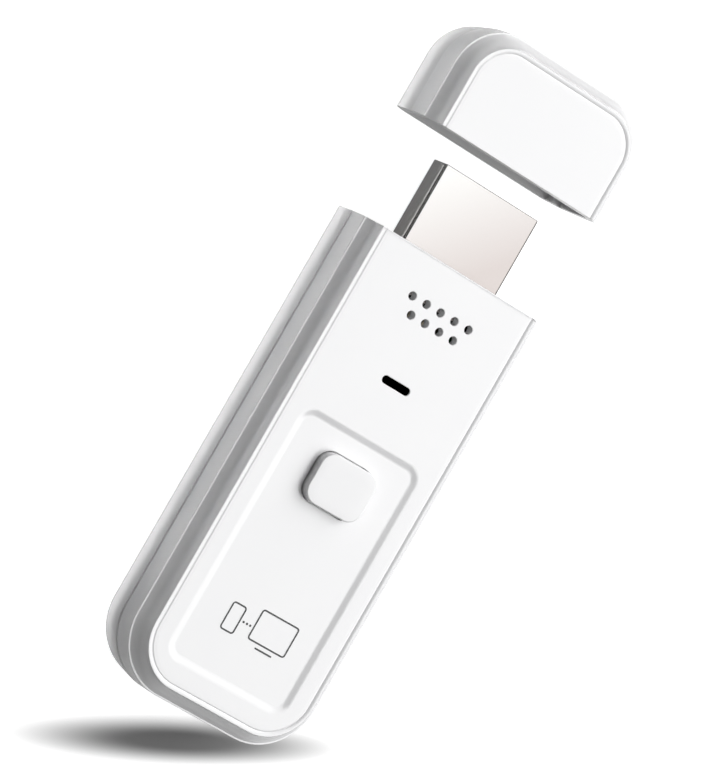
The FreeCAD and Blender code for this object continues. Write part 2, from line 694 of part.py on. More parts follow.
def build_rear_shell():
    body = new_body("rear_shell")
    plan = new_sketch(body, "rear_plan")
    add_stick_outline(plan, "0", PLUG_END, INLET_END)
    pad(body, plan, PARTING)
    cut_back_edge(body, PLUG_END, INLET_END)
    inner_end = f"({PLUG_END} - dim.end_wall)"
    hollow(body, "rear_room", "dim.side_wall", "dim.back_round", PARTING, inner_end, INLET_END,
           "dim.end_wall")
    hollow(body, "rear_lower_room", "(dim.side_wall + dim.back_step)", "dim.back_wall", "dim.back_round",
           inner_end, INLET_END, "(dim.end_wall + dim.back_step)")
    rebate = "(dim.lip_thickness + dim.lip_clearance)"
    hollow(body, "rebate", f"(dim.side_wall - {rebate})", f"({PARTING} - dim.lip_height - dim.lip_clearance)",
           PARTING, f"({inner_end} + {rebate})", INLET_END, f"(dim.end_wall - {rebate})")
    snap_row(body, "snap_pockets", "(dim.snap_height + dim.snap_gap)",
             f"({PARTING} - dim.lip_height - dim.snap_gap)", f"({PARTING} + dim.snap_gap)", "dim.snap_gap",
             cut=True)
    posts = new_sketch(body, "rear_posts", offset="dim.back_wall / 2")
    add_post_circles(posts, "dim.post_diameter")
    add_rest_boxes(posts, PLUG_ROW)
    pad(body, posts, f"({BOARD_BACK} - dim.back_wall / 2)")
    pins = new_sketch(body, "pins", offset=BOARD_BACK)
    add_post_circles(pins, "dim.pin_diameter")
    pad(body, pins, "dim.pin_length")
    cut_plug_opening(body)
    cut_inlet_opening(body)


def build_light_pipe():
    body = new_body("light_pipe")
    lens = new_sketch(body, "pipe_lens", offset=CEILING)
    add_pill(lens, around("0", "(dim.light_length - 2 * dim.light_gap)"),
             around(LIGHT_PLACE, "(dim.light_width - 2 * dim.light_gap)"))
    pad(body, lens, "(dim.face_wall - dim.light_recess)")
    flange = new_sketch(body, "pipe_flange", offset=f"({CEILING} - dim.light_flange_thickness)")
    add_box(flange, around("0", grown("dim.light_length", "dim.light_flange")),
            around(LIGHT_PLACE, grown("dim.light_width", "dim.light_flange")))
    pad(body, flange, "dim.light_flange_thickness")
    stem = new_sketch(body, "pipe_stem", offset=CEILING)
    add_box(stem, around("0", "dim.led_width"), around(LIGHT_PLACE, "dim.led_length"))
    pad(body, stem, f"({CEILING} - {BOARD_TOP} - dim.led_height - dim.led_air)", upward=False)


# Button and its switch

def build_button_key():
    body = new_body("button_key")
    collar_low = f"({CEILING} - dim.button_play - dim.button_flange_thickness)"
    top = f"({TOP} + dim.button_rise)"

    def square(name, extra):
        outline = new_sketch(body, name, offset=collar_low)
        add_box(outline, around("0", grown("dim.button_width", extra)),
                around(BUTTON_PLACE, grown("dim.button_length", extra)))
        return outline

    plan = new_sketch(body, "button_plan", offset=collar_low)
    add_round_box(plan, around("0", "dim.button_width"), around(BUTTON_PLACE, "dim.button_length"),
                  "dim.button_radius")
    pad(body, plan, f"({top} - {collar_low})")
    crown = dress_edges(body, "Chamfer", "dim.button_edge", lies_at_height(top))
    body.Tip = crown
    pad(body, square("button_collar", "dim.button_flange"), "dim.button_flange_thickness")
    pocket(body, square("button_room", "(-dim.button_wall)"), f"({top} - dim.button_wall - {collar_low})",
           upward=True)
    post = new_sketch(body, "button_post", offset=PLUNGER_TOP)
    add_circle(post, "0", BUTTON_PLACE, "dim.button_post")
    pad(body, post, f"({top} - dim.button_wall / 2 - {PLUNGER_TOP})")


def switch_square(sketch):
    add_box(sketch, around("0", "dim.switch_side"), around(BUTTON_PLACE, "dim.switch_side"))


def build_switch():
    base = new_body("switch_base")
    outline = new_sketch(base, "switch_plan", offset=BOARD_TOP)
    switch_square(outline)
    pad(base, outline, "dim.switch_height")
    well = new_sketch(base, "switch_well", offset=f"({BOARD_TOP} + dim.switch_floor)")
    add_circle(well, "0", BUTTON_PLACE, "dim.well_diameter")
    pocket(base, well, "dim.switch_height", upward=True)

    cover = new_body("switch_cover")
    sheet = new_sketch(cover, "cover_plan", offset=COVER_LOW)
    switch_square(sheet)
    add_circle(sheet, "0", BUTTON_PLACE, "dim.cover_hole")
    pad(cover, sheet, "dim.cover_thickness")
    legs = new_sketch(cover, "cover_legs", offset=BOARD_TOP)
    for side in ("-", ""):
        near = f"({side}dim.switch_side / 2)"
        far = f"({side}(dim.switch_side / 2 + dim.cover_thickness))"
        across = (far, near) if side else (near, far)
        add_box(legs, across, around(BUTTON_PLACE, "dim.switch_side / 2"))
    pad(cover, legs, "(dim.switch_height + dim.cover_thickness)")

    dome = new_body("switch_dome")
    section = new_sketch(dome, "dome_section", "XZ_Plane", f"-{BUTTON_PLACE}")
    floor = f"({BOARD_TOP} + dim.switch_floor)"
    crown = f"({floor} + dim.dome_rise)"
    under = f"({crown} - dim.dome_thickness)"
    corners = [
        ("dim.dome_diameter / 2", floor), ("dim.dome_crown / 2", crown), ("0", crown), ("0", under),
        ("(dim.dome_crown / 2 - dim.dome_thickness)", under),
        ("(dim.dome_diameter / 2 - 2 * dim.dome_thickness)", floor),
    ]
    add_outline(section, corners)
    turn = dome.newObject("PartDesign::Revolution", "dome_turn")
    turn.Profile = section
    turn.ReferenceAxis = (section, ["V_Axis"])
    turn.Angle = 360

    plunger = new_body("switch_plunger")
    collar_top = f"({COVER_LOW} - dim.plunger_play)"
    collar_low = f"({collar_top} - dim.plunger_collar_thickness)"
    foot = f"({crown} + dim.button_travel + dim.plunger_play)"
    for name, diameter, low, top in (("plunger_collar", "dim.plunger_collar", collar_low, collar_top),
                                     ("plunger_stem", "dim.plunger_diameter", foot, PLUNGER_TOP)):
        outline = new_sketch(plunger, name + "_plan", offset=low)
        add_circle(outline, "0", BUTTON_PLACE, diameter)
        pad(plunger, outline, f"({top} - {low})")


# Cap

def build_cap():
    body = new_body("cap_shell")
    plan = new_sketch(body, "cap_plan")
    add_stick_outline(plan, "0", CAP_MOUTH, CAP_END, corner=CAP_CORNER)
    pad(body, plan, TOP)
    cut_front_band(body, CAP_MOUTH, CAP_END, CAP_CORNER)
    cut_back_edge(body, CAP_MOUTH, CAP_END, CAP_CORNER)
    sink_face(body, CAP_MOUTH, CAP_END, CAP_CORNER)
    mouth = f"({CAP_MOUTH} - dim.overrun)"
    levels = (
        ("cap_room", "0", "dim.back_round", CREASE),
        ("cap_lower_room", "dim.back_step", "dim.back_wall", "dim.back_round"),
    )
    for name, step, low, high in levels:
        hollow(body, name, f"(dim.side_wall + {step})", low, high, mouth, CAP_END,
               f"(dim.cap_end_wall + {step})", CAP_CORNER)
    add_grip_ribs(body)


def add_grip_ribs(body):
    """Ribs that grip the plug's four sides when the cap is on."""
    start = f"({CAP_MOUTH} + dim.rib_setback)"
    plug_top = f"({PLANE} + dim.hdmi_thickness / 2 + dim.rib_gap)"
    plug_low = f"({PLANE} - dim.hdmi_thickness / 2 - dim.rib_gap)"
    far = f"({CAP_END} - dim.cap_end_wall / 2 - {start})"
    for name, low, high in (("front_rib", plug_top, f"({CREASE} + dim.face_wall / 2)"),
                            ("back_rib", "dim.back_wall / 2", plug_low)):
        rib = new_sketch(body, name, "XZ_Plane", f"-{start}")
        first = "(-(dim.rib_count - 1) * dim.rib_spacing / 2)"
        add_box(rib, around(first, "dim.rib_thickness"), (low, high))
        wall = pad(body, rib, far, upward=False)
        repeat_along(body, wall, rib, "dim.rib_count", "dim.rib_spacing")
    sides = new_sketch(body, "side_ribs", "XZ_Plane", f"-{start}")
    near = "(dim.hdmi_width / 2 + dim.rib_gap)"
    wall = f"({HALF_WIDTH} - dim.side_wall / 2)"
    height = around(f"({PLANE} + dim.hdmi_thickness / 2 - dim.hdmi_side / 2)", "dim.rib_thickness")
    add_box(sides, (f"-{wall}", f"-{near}"), height)
    add_box(sides, (near, wall), height)
    pad(body, sides, "dim.side_rib_length", upward=False)


# Display plug

def plug_corners(extra):
    """The plug's section, wider at the front, grown by an extra all round."""
    slant = "atan(dim.hdmi_bevel / (dim.hdmi_thickness - dim.hdmi_side))"
    wide = f"(dim.hdmi_width / 2 + {extra})"
    narrow = f"(dim.hdmi_width / 2 - dim.hdmi_bevel + {extra} * tan((90 deg - {slant}) / 2))"
    top = f"({PLANE} + dim.hdmi_thickness / 2 + {extra})"
    turn = f"({PLANE} + dim.hdmi_thickness / 2 - dim.hdmi_side - {extra} * tan({slant} / 2))"
    low = f"({PLANE} - dim.hdmi_thickness / 2 - {extra})"
    return [(f"-{wide}", top), (f"-{wide}", turn), (f"-{narrow}", low), (narrow, low), (wide, turn),
            (wide, top)]


def build_plug():
    shell = new_body("hdmi_shell")
    outside = new_sketch(shell, "plug_outside", "XZ_Plane", f"-{PLUG_TIP}")
    add_outline(outside, plug_corners("0"))
    pad(shell, outside, f"({PLUG_TIP} - {SHELL_BACK})")
    doc.recompute()
    length = value(f"{PLUG_TIP} - {SHELL_BACK}")
    shell.Tip = dress_edges(shell, "Fillet", "dim.hdmi_edge",
                            lambda edge: abs(edge.BoundBox.YLength - length) < SAME_PLACE)
    inside = new_sketch(shell, "plug_inside", "XZ_Plane", f"-{PLUG_TIP}")
    add_outline(inside, plug_corners("(-dim.hdmi_metal)"))
    pocket(shell, inside, f"({PLUG_TIP} - {SHELL_BACK} + dim.overrun)", upward=True)

    windows = new_sketch(shell, "latch_windows", offset=PLANE)
    place = f"({PLUG_TIP} - dim.window_setback)"
    for x in ("(-dim.window_across)", "dim.window_across"):
        add_box(windows, around(x, "dim.window_width"), around(place, "dim.window_length"))
    pocket(shell, windows, "dim.hdmi_thickness")

    core = new_body("hdmi_insulator")
    block_plan = new_sketch(core, "core_plan", "XZ_Plane", f"-{CORE_FRONT}")
    add_outline(block_plan, plug_corners("(-dim.hdmi_metal)"))
    pad(core, block_plan, f"({CORE_FRONT} - {CORE_BACK})")
    slot = new_sketch(core, "core_slot", "XZ_Plane", f"-{CORE_FRONT}")
    across = around("0", "dim.hdmi_slot_width")
    opening = grown("dim.board_thickness", "dim.hdmi_contact_thickness")
    add_box(slot, across, around(PLANE, opening))
    pocket(core, slot, f"({CORE_FRONT} - {CORE_BACK} + dim.overrun)", upward=True)
    web_front = f"({CORE_FRONT} - dim.hdmi_slot_depth)"
    web = new_sketch(core, "core_web", "XZ_Plane", f"-{web_front}")
    add_box(web, across, around(PLANE, "dim.board_thickness"))
    pad(core, web, f"({web_front} - {CORE_BACK} - dim.board_tongue - dim.board_tongue_gap)")

    contacts = []
    length = f"({CORE_FRONT} - dim.hdmi_contact_width - {CORE_BACK} + dim.hdmi_contact_tail)"
    start = f"({CORE_BACK} - dim.hdmi_contact_tail)"
    size = ("dim.hdmi_contact_width", length, "dim.hdmi_contact_thickness")
    lowest = f"({BOARD_BACK} - dim.hdmi_contact_thickness)"
    for row, height in (("front", BOARD_TOP), ("back", lowest)):
        count = int(value(f"dim.hdmi_{row}_contacts"))
        for index in range(count):
            left = f"({index - (count - 1) / 2} * dim.hdmi_pitch - dim.hdmi_contact_width / 2)"
            contacts.append(block(f"plug_contact_{row}_{index}", (left, start, height), size))
    group("hdmi_contacts", contacts)


# Power inlet

def build_inlet():
    shell = new_body("usb_c_shell")
    outside = new_sketch(shell, "inlet_outside", "XZ_Plane", f"-{INLET_MOUTH}")
    add_pill(outside, around("0", "dim.usb_width"), around(PLANE, "dim.usb_thickness"))
    pad(shell, outside, "dim.usb_length", upward=False)
    wings = new_sketch(shell, "inlet_wings", offset=BOARD_TOP)
    inner = "(dim.usb_width / 2 - dim.usb_metal)"
    outer = "(dim.usb_width / 2 + dim.usb_wing)"
    along = around(f"(({INLET_MOUTH} + {INLET_BACK}) / 2)", "dim.usb_wing_length")
    add_box(wings, (f"-{outer}", f"-{inner}"), along)
    add_box(wings, (inner, outer), along)
    pad(shell, wings, "dim.usb_metal")
    inside = new_sketch(shell, "inlet_inside", "XZ_Plane", f"-{INLET_MOUTH}")
    add_pill(inside, around("0", "(dim.usb_width - 2 * dim.usb_metal)"),
             around(PLANE, "(dim.usb_thickness - 2 * dim.usb_metal)"))
    pocket(shell, inside, "(dim.usb_length + dim.overrun)")

    core = new_body("usb_c_insulator")
    root = f"({INLET_BACK} - dim.usb_block)"
    block_plan = new_sketch(core, "inlet_block", "XZ_Plane", f"-{root}")
    add_pill(block_plan, around("0", "(dim.usb_width - 2 * dim.usb_metal)"),
             around(PLANE, "(dim.usb_thickness - 2 * dim.usb_metal)"))
    pad(core, block_plan, "dim.usb_block", upward=False)
    across = around("0", "dim.usb_tongue_width")
    slot = new_sketch(core, "inlet_slot", "XZ_Plane", f"-{root}")
    opening = grown("dim.usb_tongue_thickness", "dim.usb_contact_thickness")
    add_box(slot, across, around(PLANE, opening))
    pocket(core, slot, "(dim.usb_block + dim.overrun)")
    tongue_tip = f"({INLET_MOUTH} + dim.usb_tongue_recess)"
    tongue = new_sketch(core, "tongue", "XZ_Plane", f"-{tongue_tip}")
    add_box(tongue, across, around(PLANE, "dim.usb_tongue_thickness"))
    pad(core, tongue, f"({INLET_BACK} - {tongue_tip})", upward=False)

    contacts = []
    start = f"({tongue_tip} + dim.usb_contact_width)"
    front = f"({PLANE} + dim.usb_tongue_thickness / 2)"
    back = f"({PLANE} - dim.usb_tongue_thickness / 2 - dim.usb_contact_thickness)"
    size = ("dim.usb_contact_width", f"({INLET_BACK} - {start})", "dim.usb_contact_thickness")
    count = int(value("dim.usb_contacts"))
    for row, height in (("front", front), ("back", back)):
        for index in range(count):
            left = f"({index - (count - 1) / 2} * dim.usb_pitch - dim.usb_contact_width / 2)"
            contacts.append(block(f"inlet_contact_{row}_{index}", (left, start, height), size))
    group("usb_c_contacts", contacts)


# Board and what is soldered to it

def build_board():
    body = new_body("main_board")
    plan = new_sketch(body, "board_plan", offset=BOARD_BACK)
    plug_edge = f"({CORE_BACK} - dim.board_end_margin)"
    add_stick_outline(plan, "(dim.side_wall + dim.board_margin)", plug_edge,
                      shifted(INLET_END, 1, "(dim.end_wall + dim.board_end_margin)"))
    pad(body, plan, "dim.board_thickness")
    tongue = new_sketch(body, "board_tongue", offset=BOARD_BACK)
    add_box(tongue, around("0", "(dim.hdmi_slot_width - 2 * dim.board_tongue_gap)"),
            (f"({plug_edge} - dim.overrun)", f"({CORE_BACK} + dim.board_tongue)"))
    pad(body, tongue, "dim.board_thickness")
    holes = new_sketch(body, "board_holes", offset=BOARD_TOP)
    add_post_circles(holes, grown("dim.pin_diameter", "dim.pin_gap"))
    add_box(holes, around("0", grown("dim.usb_width", "dim.inlet_notch_gap")),
            (f"({INLET_END})", f"({INLET_BACK} + dim.inlet_notch_gap)"))
    pocket(body, holes, "(dim.board_thickness + dim.overrun)")


def mounted(label, x, y, size, front=True):
    """A block soldered to the front or the back of the board, centred on x and y."""
    width, length, height = size
    low = BOARD_TOP if front else f"({BOARD_BACK} - {height})"
    corner = (f"({x} - {width} / 2)", f"({y} - {length} / 2)", low)
    return block(label, corner, size)


def mounted_pairs(label, stem, rows=1, pitch="0", from_plug=True):
    """Equal blocks in pairs, either side of the board's middle line, in rows towards the plug.

    Sizes and places are the cells that start with the stem, and the setback of the first row is
    from the plug end or the inlet end.
    """
    first = f"({PLUG_END} - dim.{stem}_setback)" if from_plug else f"({INLET_END} + dim.{stem}_setback)"
    size = tuple(f"dim.{stem}_{name}" for name in ("width", "length", "height"))
    blocks = []
    for row in range(rows):
        y = f"({first} + {row} * {pitch})"
        for side in ("left", "right"):
            x = f"(-dim.{stem}_across)" if side == "left" else f"dim.{stem}_across"
            blocks.append(mounted(f"{stem}_{side}_{row}", x, y, size))
    group(label, blocks)


def build_chips():
    middle = f"({PLUG_END} - dim.processor_setback)"
    processor = ("dim.processor_side", "dim.processor_side", "dim.processor_height")
    group("processor_chip", [mounted("processor", "0", middle, processor, front=False)])
    memory = ("dim.memory_width", "dim.memory_length", "dim.memory_height")
    memory_place = f"({INLET_END} + dim.memory_setback)"
    group("memory_chip", [mounted("memory", "0", memory_place, memory, front=False)])
    flash = ("dim.flash_width", "dim.flash_length", "dim.flash_height")
    flash_place = f"({INLET_END} + dim.flash_setback)"
    group("flash_chip", [mounted("flash", "dim.flash_across", flash_place, flash, front=False)])
    pad_low = f"({BOARD_BACK} - dim.processor_height - dim.pad_thickness)"
    corner = ("(-dim.pad_side / 2)", f"({middle} - dim.pad_side / 2)", pad_low)
    group("thermal_pad", [block("pad", corner, ("dim.pad_side", "dim.pad_side", "dim.pad_thickness"))])
    build_heat_sink(middle, pad_low)


def build_heat_sink(middle, top):
    """A plate with fins along the stick, stuck under the processor."""
    sink = new_body("heat_sink")
    plate = new_sketch(sink, "sink_plate", offset=f"({top} - dim.sink_base)")
    along = around(middle, "dim.sink_length")
    add_box(plate, around("0", "dim.sink_width"), along)
    pad(sink, plate, "dim.sink_base")
    fin = new_sketch(sink, "fin", offset=f"({top} - dim.sink_height)")
    add_box(fin, ("(-dim.sink_width / 2)", "(dim.fin_thickness - dim.sink_width / 2)"), along)
    first = pad(sink, fin, "(dim.sink_height - dim.sink_base / 2)")
    repeat_along(sink, first, fin, "dim.fin_count",
                 "((dim.sink_width - dim.fin_thickness) / (dim.fin_count - 1))")


def build_radio():
    """The radio module: its own small board under a five-sided tin shield."""
    size = ("dim.radio_width", "dim.radio_length", "dim.radio_board")
    group("wifi_board", [mounted("radio", "0", RADIO_PLACE, size)])
    body = new_body("wifi_shield")
    foot = f"({BOARD_TOP} + dim.radio_board)"

    def level(name, inset):
        outline = new_sketch(body, name, offset=foot)
        add_box(outline, around("0", f"(dim.radio_width - 2 * {inset})"),
                around(RADIO_PLACE, f"(dim.radio_length - 2 * {inset})"))
        return outline

    pad(body, level("shield_plan", "dim.shield_inset"), "dim.shield_height")
    room = level("shield_room", "(dim.shield_inset + dim.shield_sheet)")
    pocket(body, room, "(dim.shield_height - dim.shield_sheet)", upward=True)


def build_small_parts():
    lamp = ("dim.led_width", "dim.led_length", "dim.led_height")
    group("status_led", [mounted("lamp", "0", LIGHT_PLACE, lamp)])
    mounted_pairs("chip_antennas", "antenna", from_plug=False)
    mounted_pairs("crystals", "crystal")
    mounted_pairs("power_inductors", "inductor")
    mounted_pairs("voltage_regulators", "regulator")
    mounted_pairs("surge_arrays", "surge")
    mounted_pairs("capacitors", "capacitor", int(value("dim.capacitor_rows")), "dim.capacitor_pitch")
    mounted_pairs("resistors", "resistor", int(value("dim.resistor_rows")), "dim.resistor_pitch")


build_front_shell()
build_rear_shell()
build_light_pipe()
build_button_key()
build_switch()
build_cap()
build_plug()
build_inlet()
build_board()
build_chips()
build_radio()
build_small_parts()
doc.recompute()

for item in doc.Objects:
    if any(word in item.State for word in ("Invalid", "Error")):
        raise RuntimeError(f"{item.Label} is {item.State}")
for piece in parts:
    if piece.Shape.isNull() or not piece.Shape.isValid():
        raise RuntimeError(f"{piece.Label} has no valid shape")

os.makedirs("parts", exist_ok=True)
for piece in parts:
    piece.Shape.exportStep(f"parts/{piece.Label}.step")
    box = piece.Shape.BoundBox
    print(piece.Label, len(piece.Shape.Solids), "solids", round(piece.Shape.Volume, 2), "mm3",
          [round(number, 2) for number in (box.XMin, box.YMin, box.ZMin, box.XMax, box.YMax, box.ZMax)])
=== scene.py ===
"""Looks of the wireless display dongle: its moulded shells, cap, button, plug and finishes."""

import logging
import math
from collections.abc import Callable, Iterator
from contextlib import contextmanager
from dataclasses import dataclass
from enum import Enum
from functools import cache

import bmesh
import bpy
from mathutils import Matrix, Vector


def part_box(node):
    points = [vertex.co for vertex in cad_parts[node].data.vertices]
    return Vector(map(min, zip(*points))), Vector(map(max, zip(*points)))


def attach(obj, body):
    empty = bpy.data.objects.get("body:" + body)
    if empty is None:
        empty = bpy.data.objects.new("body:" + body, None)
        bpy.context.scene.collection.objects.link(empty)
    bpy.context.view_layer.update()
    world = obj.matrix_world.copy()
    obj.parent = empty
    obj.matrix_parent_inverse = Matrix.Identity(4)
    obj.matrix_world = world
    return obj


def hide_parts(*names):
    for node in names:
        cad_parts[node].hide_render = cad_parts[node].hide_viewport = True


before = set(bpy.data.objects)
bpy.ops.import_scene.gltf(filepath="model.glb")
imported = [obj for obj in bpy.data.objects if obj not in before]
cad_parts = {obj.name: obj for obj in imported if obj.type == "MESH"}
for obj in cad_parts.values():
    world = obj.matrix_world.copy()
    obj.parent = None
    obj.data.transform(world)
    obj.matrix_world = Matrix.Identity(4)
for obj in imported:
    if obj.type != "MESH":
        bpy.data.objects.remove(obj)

LOG = logging.getLogger("display_dongle")
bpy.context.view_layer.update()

MM = 0.001  # metres in a millimetre; pieces are shaped in millimetres
NEAR = 1e-4  # places nearer than this, in millimetres, are the same
LEVEL = 0.01  # corners no further than this from a place, in millimetres, lie at it
SAME_WAY = 0.999  # least cosine between ways that count as one
SHARP = 30.0  # edges that turn by more than this, in degrees, stay sharp
CLEAR = 1.0  # how far a cutter stands out of what it cuts, in millimetres
WALL = 1.2  # thickness of the moulded walls, in millimetres
FULL_ROUND = 0.998  # share of a half width that a radius may take without a fold
X, Y, Z = 0, 1, 2  # the axes by their number

Point = tuple[float, float]
Pair = tuple[float, float]
Box = tuple[float, float, float, float]
Shade = tuple[float, float, float]
Place = tuple[float, float, float]
Socket = bpy.types.NodeSocket


class Element(Enum):
    """What an edit acts on: the mode that selects it, and bmesh's name for all of the kind."""

    CORNER = ("VERT", "verts")
    EDGE = ("EDGE", "edges")
    FACE = ("FACE", "faces")

    def __init__(self, mode: str, group: str) -> None:
        """Takes the two names apart."""
        self.mode = mode
        self.group = group


class Body(Enum):
    """The moving bodies of the dongle."""

    HOUSING = "housing"
    BUTTON = "button"
    CAP = "cap"


@dataclass(frozen=True)
class Extent:
    """The box of a CAD node, in millimetres."""

    low: Vector
    high: Vector

    @classmethod
    def of(cls, node: str) -> "Extent":
        """The box of the node with this name."""
        low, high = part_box(node)
        return cls(low / MM, high / MM)

    @property
    def middle(self) -> Vector:
        """The centre of the box."""
        return (self.low + self.high) / 2


class Workpiece:
    """A mesh while it is shaped, in millimetres, with the edits that a bench would use."""

    def __init__(self, name: str) -> None:
        """Takes the primitive that was just added and gives it its name."""
        self.thing = bpy.context.active_object
        self.thing.name = name
        self.thing.data.name = name
        bpy.ops.object.transform_apply(location=True, rotation=True, scale=True)

    @classmethod
    def plate(cls, name: str, low: Point, high: Point, level: float, upward: bool = True) -> "Workpiece":
        """Starts from a flat rectangle that faces up, or down.

        Args:
            name: the piece's name.
            low: its lowest x and y.
            high: its highest x and y.
            level: its height.
            upward: whether it faces up.
        Returns:
            The new workpiece.
        """
        clear_selection()
        middle = ((low[X] + high[X]) / 2, (low[Y] + high[Y]) / 2, level)
        bpy.ops.mesh.primitive_plane_add(size=1, location=middle)
        bpy.context.active_object.scale = (high[X] - low[X], high[Y] - low[Y], 1)
        piece = cls(name)
        if not upward:
            piece.turn_over()
        return piece

    @classmethod
    def disc(cls, name: str, middle: Point, diameter: float, level: float, sides: int) -> "Workpiece":
        """Starts from a flat disc that faces down.

        Args:
            name: the piece's name.
            middle: its centre.
            diameter: its diameter.
            level: its height.
            sides: the corners round its edge.
        Returns:
            The new workpiece.
        """
        clear_selection()
        bpy.ops.mesh.primitive_circle_add(vertices=sides, radius=diameter / 2, fill_type="NGON",
                                          location=(*middle, level))
        piece = cls(name)
        piece.turn_over()
        return piece

    @classmethod
    def block(cls, name: str, low: Place | Vector, high: Place | Vector) -> "Workpiece":
        """Starts from a block between two corners."""
        clear_selection()
        low, high = Vector(low), Vector(high)
        bpy.ops.mesh.primitive_cube_add(size=1, location=(low + high) / 2)
        bpy.context.active_object.scale = high - low
        return cls(name)

    @contextmanager
    def edit(self, kind: Element) -> Iterator[None]:
        """Edit mode, with all of the mesh selected and one kind of element to act on."""
        self.take_up()
        bpy.ops.object.mode_set(mode="EDIT")
        bpy.ops.mesh.select_mode(type=kind.mode)
        bpy.ops.mesh.select_all(action="SELECT")
        yield
        bpy.ops.object.mode_set(mode="OBJECT")

    def take_up(self) -> None:
        """Makes this the one object that is selected and active."""
        clear_selection()
        self.thing.select_set(True)
        bpy.context.view_layer.objects.active = self.thing

    def pick(self, kind: Element, test: Callable) -> None:
        """Selects just the elements that pass a test, inside an edit.

        Args:
            kind: the kind of element.
            test: takes an element and says whether it is wanted.
        """
        bpy.ops.mesh.select_all(action="DESELECT")
        mesh = bmesh.from_edit_mesh(self.thing.data)
        mesh.normal_update()
        wanted = [item for item in getattr(mesh, kind.group) if test(item)]
        for item in wanted:
            item.select_set(True)
        bmesh.update_edit_mesh(self.thing.data)
        if not wanted:
            raise ValueError(f"{self.thing.name} has no such {kind.name.lower()}")

    def turn_over(self) -> None:
        """Makes a flat piece face the other way."""
        with self.edit(Element.FACE):
            bpy.ops.mesh.flip_normals()

    def round_corners(self, radius: float, steps: int, test: Callable = lambda corner: True) -> None:
        """Rounds the corners of a flat plate that pass a test."""
        with self.edit(Element.CORNER):
            self.pick(Element.CORNER, test)
            bpy.ops.mesh.bevel(offset=radius, segments=steps, affect="VERTICES", clamp_overlap=False)

    def follow(self, section: list[Point]) -> None:
        """Carries the selected face along a section, inside an edit.

        Args:
            section: points of inset and height, each counted from where the face is at the start.
        """
        inset, height = 0.0, 0.0
        for next_inset, next_height in section:
            if next_inset - inset > NEAR:
                bpy.ops.mesh.inset(thickness=next_inset - inset, depth=next_height - height,
                                   use_even_offset=True)
            else:
                push_out(next_height - height)
            inset, height = next_inset, next_height

    def raise_up(self, section: list[Point]) -> None:
        """Makes a flat plate a closed solid by carrying its face along a section."""
        with self.edit(Element.FACE):
            self.follow(section)
            face_outward()

    def grow_down(self, level: float, section: list[Point]) -> None:
        """Carries the face that looks down at a level further down along a section."""
        with self.edit(Element.FACE):
            self.pick(Element.FACE, lambda face: looks(face, Vector((0, 0, -1))) and at(face, Z, level))
            self.follow(section)

    def trim(self, place: float, side: int, edge: float) -> None:
        """Cuts the piece square across its length and breaks the new edge.

        Args:
            place: where its end comes to lie along Y.
            side: 1 to take off what lies past the place, -1 what lies before it.
            edge: width of the broken edge.
        """
        with self.edit(Element.FACE):
            bpy.ops.mesh.bisect(plane_co=(0, place - side * edge, 0), plane_no=(0, side, 0),
                                use_fill=True, clear_outer=True, clear_inner=False)
            self.pick(Element.FACE, lambda face: looks(face, Vector((0, side, 0))))
            if edge > 0:
                bpy.ops.mesh.inset(thickness=edge, depth=edge, use_even_offset=True)

    def bevel_edges(self, width: float, steps: int, test: Callable) -> None:
        """Rounds the edges that pass a test."""
        with self.edit(Element.EDGE):
            self.pick(Element.EDGE, test)
            bpy.ops.mesh.bevel(offset=width, segments=steps, affect="EDGES", clamp_overlap=False)

    def combine(self, other: "Workpiece", operation: str) -> None:
        """Cuts, joins or overlaps this with another workpiece, and uses the other up."""
        self.take_up()
        modifier = self.thing.modifiers.new("combine", "BOOLEAN")
        modifier.operation = operation
        modifier.solver = "MANIFOLD"
        modifier.object = other.thing
        bpy.ops.object.modifier_apply(modifier=modifier.name)
        bpy.data.objects.remove(other.thing, do_unlink=True)

    def cut(self, *others: "Workpiece") -> None:
        """Cuts other workpieces away."""
        for other in others:
            self.combine(other, "DIFFERENCE")

    def settle(self, body: Body, slot: str, finish: "Finish", *nodes: str) -> None:
        """Finishes the piece: shading, metres, its body and finish.

        Args:
            body: the body that it rides on.
            slot: the record's material slot; not used.
            finish: what it looks like.
            nodes: the CAD nodes that it stands for.
        """
        thing = self.thing
        self.take_up()
        bpy.ops.object.shade_smooth_by_angle(angle=math.radians(SHARP))
        flat = thing.modifiers.new("flat faces", "WEIGHTED_NORMAL")
        flat.keep_sharp = True
        bpy.ops.object.modifier_apply(modifier=flat.name)
        thing.scale = (MM, MM, MM)
        bpy.ops.object.transform_apply(location=True, rotation=True, scale=True)
        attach(thing, body.value)
        if nodes:
            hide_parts(*nodes)
        thing.data.materials.clear()
        thing.data.materials.append(material_of(finish))
        LOG.info("%s: %d faces", thing.name, len(thing.data.polygons))


def clear_selection() -> None:
    """Leaves nothing selected."""
    bpy.ops.object.select_all(action="DESELECT")


def push_out(height: float) -> None:
    """Extrudes the selected face along its normal, inside an edit."""
    bpy.ops.mesh.extrude_region_shrink_fatten(TRANSFORM_OT_shrink_fatten={"value": height})


def face_outward() -> None:
    """Turns all normals outward, inside an edit."""
    bpy.ops.mesh.select_all(action="SELECT")
    bpy.ops.mesh.normals_make_consistent(inside=False)


def looks(face: bmesh.types.BMFace, way: Vector) -> bool:
    """Whether a face looks along a unit vector."""
    return face.normal.dot(way) > SAME_WAY


def at(element: bmesh.types.BMFace | bmesh.types.BMEdge, axis: int, place: float) -> bool:
    """Whether all corners of a face or an edge lie at one place along an axis."""
    return all(abs(corner.co[axis] - place) < LEVEL for corner in element.verts)


def along_stick(edge: bmesh.types.BMEdge) -> bool:
    """Whether an edge runs along Y."""
    way = edge.verts[1].co - edge.verts[0].co
    return abs(way.x) < NEAR and abs(way.z) < NEAR


